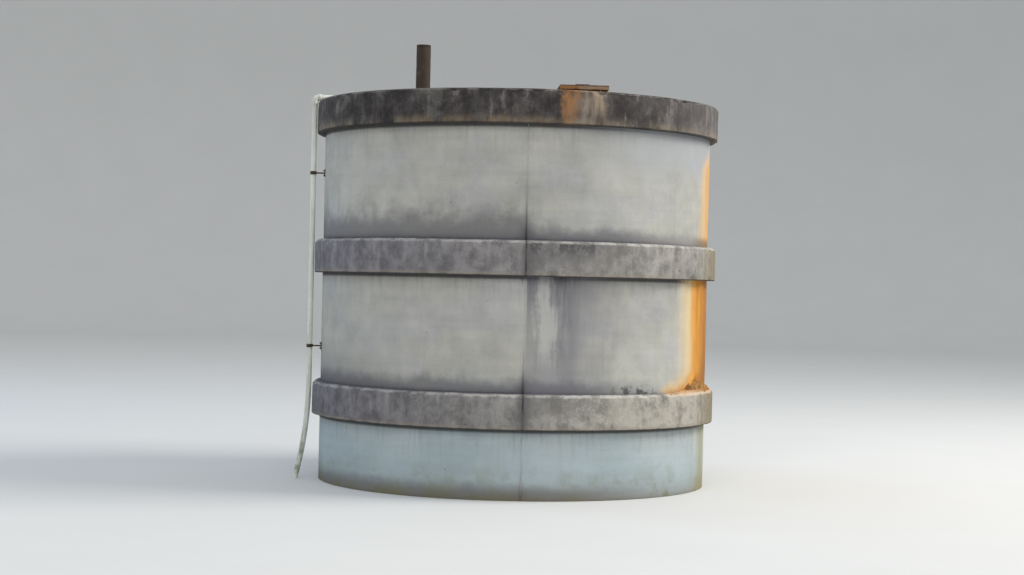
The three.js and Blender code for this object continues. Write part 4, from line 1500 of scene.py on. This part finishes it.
class TANK_OT_stage(Operator):
    """Makes the camera, the pale floor with its raised edge, and the soft light"""

    bl_idname = "tank.stage"
    bl_label = "Stage"

    def execute(self, context):
        self.add_camera(context.scene)
        self.add_floor()
        # Azimuth and elevation in degrees, distance, width and height, power in watts, and colour
        self.add_lamp("key", 86.0, 42.0, 18.0, (9.0, 7.0), 2520.0, (1.0, 0.972, 0.92))
        self.add_lamp("front", -5.0, 38.0, 22.0, (12.0, 8.0), 960.0, (1.0, 0.98, 0.94))
        self.add_lamp("left", -112.0, 30.0, 18.0, (9.0, 8.0), 500.0, (0.35, 0.64, 1.0))
        world = bpy.data.worlds.new("studio")
        world.use_nodes = True
        sky = world.node_tree.nodes["Background"]
        sky.inputs["Color"].default_value = (0.93, 0.965, 1.0, 1.0)
        sky.inputs["Strength"].default_value = 0.7
        context.scene.world = world
        context.scene.view_settings.view_transform = "Standard"
        return {"FINISHED"}

    def add_camera(self, scene):
        """A long-lens camera at the photograph's eye height, rolled a little as it was."""
        eye, target = Vector((-0.7504, -15.1774, 1.56)), Vector((-0.02, 0.0, 1.53))
        roll = math.radians(1.3)
        forward = (target - eye).normalized()
        level = forward.cross(Vector((0, 0, 1))).normalized()
        rise = level.cross(forward)
        right = level * math.cos(roll) + rise * math.sin(roll)
        up = rise * math.cos(roll) - level * math.sin(roll)
        view = bpy.data.cameras.new("camera")
        view.sensor_width, view.lens, view.clip_end = 36.0, 67.0, 500.0
        scene.camera = linked("camera", view)
        turn = Matrix((right, up, -forward)).transposed()
        scene.camera.matrix_world = Matrix.Translation(eye) @ turn.to_4x4()

    def add_lamp(self, name, azimuth, elevation, distance, size, energy, colour):
        """A soft lamp that looks at the middle of the tank."""
        light = bpy.data.lights.new(name, "AREA")
        light.shape, light.energy, light.color = "RECTANGLE", energy, colour
        light.size, light.size_y = size
        lamp = linked(name, light)
        azimuth, elevation = math.radians(azimuth), math.radians(elevation)
        out = Vector((math.sin(azimuth), -math.cos(azimuth), math.tan(elevation))).normalized()
        lamp.location = out * distance + Vector((0, 0, 1.5))
        lamp.rotation_mode = "QUATERNION"
        lamp.rotation_quaternion = out.to_track_quat("Z", "Y")

    def add_floor(self):
        """A round floor that bends up into a wall far behind the tank."""
        level, reach_out, bend, wall_top, parts = -0.0006, 36.0, 9.0, 14.0, 12
        outline = [(0.0, level), (6.0, level), (reach_out, level)]
        for part in range(1, parts + 1):
            angle = math.pi / 2 * part / parts
            outline.append((reach_out + bend * math.sin(angle), level + bend * (1 - math.cos(angle))))
        outline.append((reach_out + bend, wall_top))
        vertices, faces = spun(outline, circle(96), closed=False)
        mesh = bpy.data.meshes.new("studio_floor")
        mesh.from_pydata(vertices.tolist(), [], faces)
        mesh.shade_smooth()
        sheet = Sheet("studio_floor")
        mottle = sheet.noise(0.8)
        sheet.colour = sheet.blend(mottle, (0.62, 0.62, 0.61, 1.0), (0.66, 0.66, 0.65, 1.0))
        mesh.materials.append(sheet.finish(0.9, mottle, 0.001))
        floor = linked("studio_floor", mesh)


STEPS = (
    TANK_OT_stage,
    TANK_OT_walls,
    TANK_OT_bands,
    TANK_OT_lid,
    TANK_OT_floor,
    TANK_OT_leak_crust,
    TANK_OT_vent,
    TANK_OT_hatch,
    TANK_OT_fill_pipe,
)


class TANK_PT_panel(Panel):
    """Lists the settings and the steps that dress the tank"""

    bl_idname = "TANK_PT_panel"
    bl_label = "Concrete tank"
    bl_space_type = "VIEW_3D"
    bl_region_type = "UI"
    bl_category = "Tank"

    def draw(self, context):
        for group in (context.scene.tank_sizes, context.scene.tank_colours):
            for name in type(group).__annotations__:
                self.layout.prop(group, name)
        for step in STEPS:
            self.layout.operator(step.bl_idname)


CLASSES = (TankSizes, TankColours, *STEPS, TANK_PT_panel)


def register():
    for item in CLASSES:
        bpy.utils.register_class(item)
    bpy.types.Scene.tank_sizes = PointerProperty(type=TankSizes)
    bpy.types.Scene.tank_colours = PointerProperty(type=TankColours)


def unregister():
    del bpy.types.Scene.tank_colours
    del bpy.types.Scene.tank_sizes
    for item in reversed(CLASSES):
        bpy.utils.unregister_class(item)


def main():
    register()
    for step in STEPS:
        group, name = step.bl_idname.split(".")
        getattr(getattr(bpy.ops, group), name)()


if __name__ == "__main__":
    main()
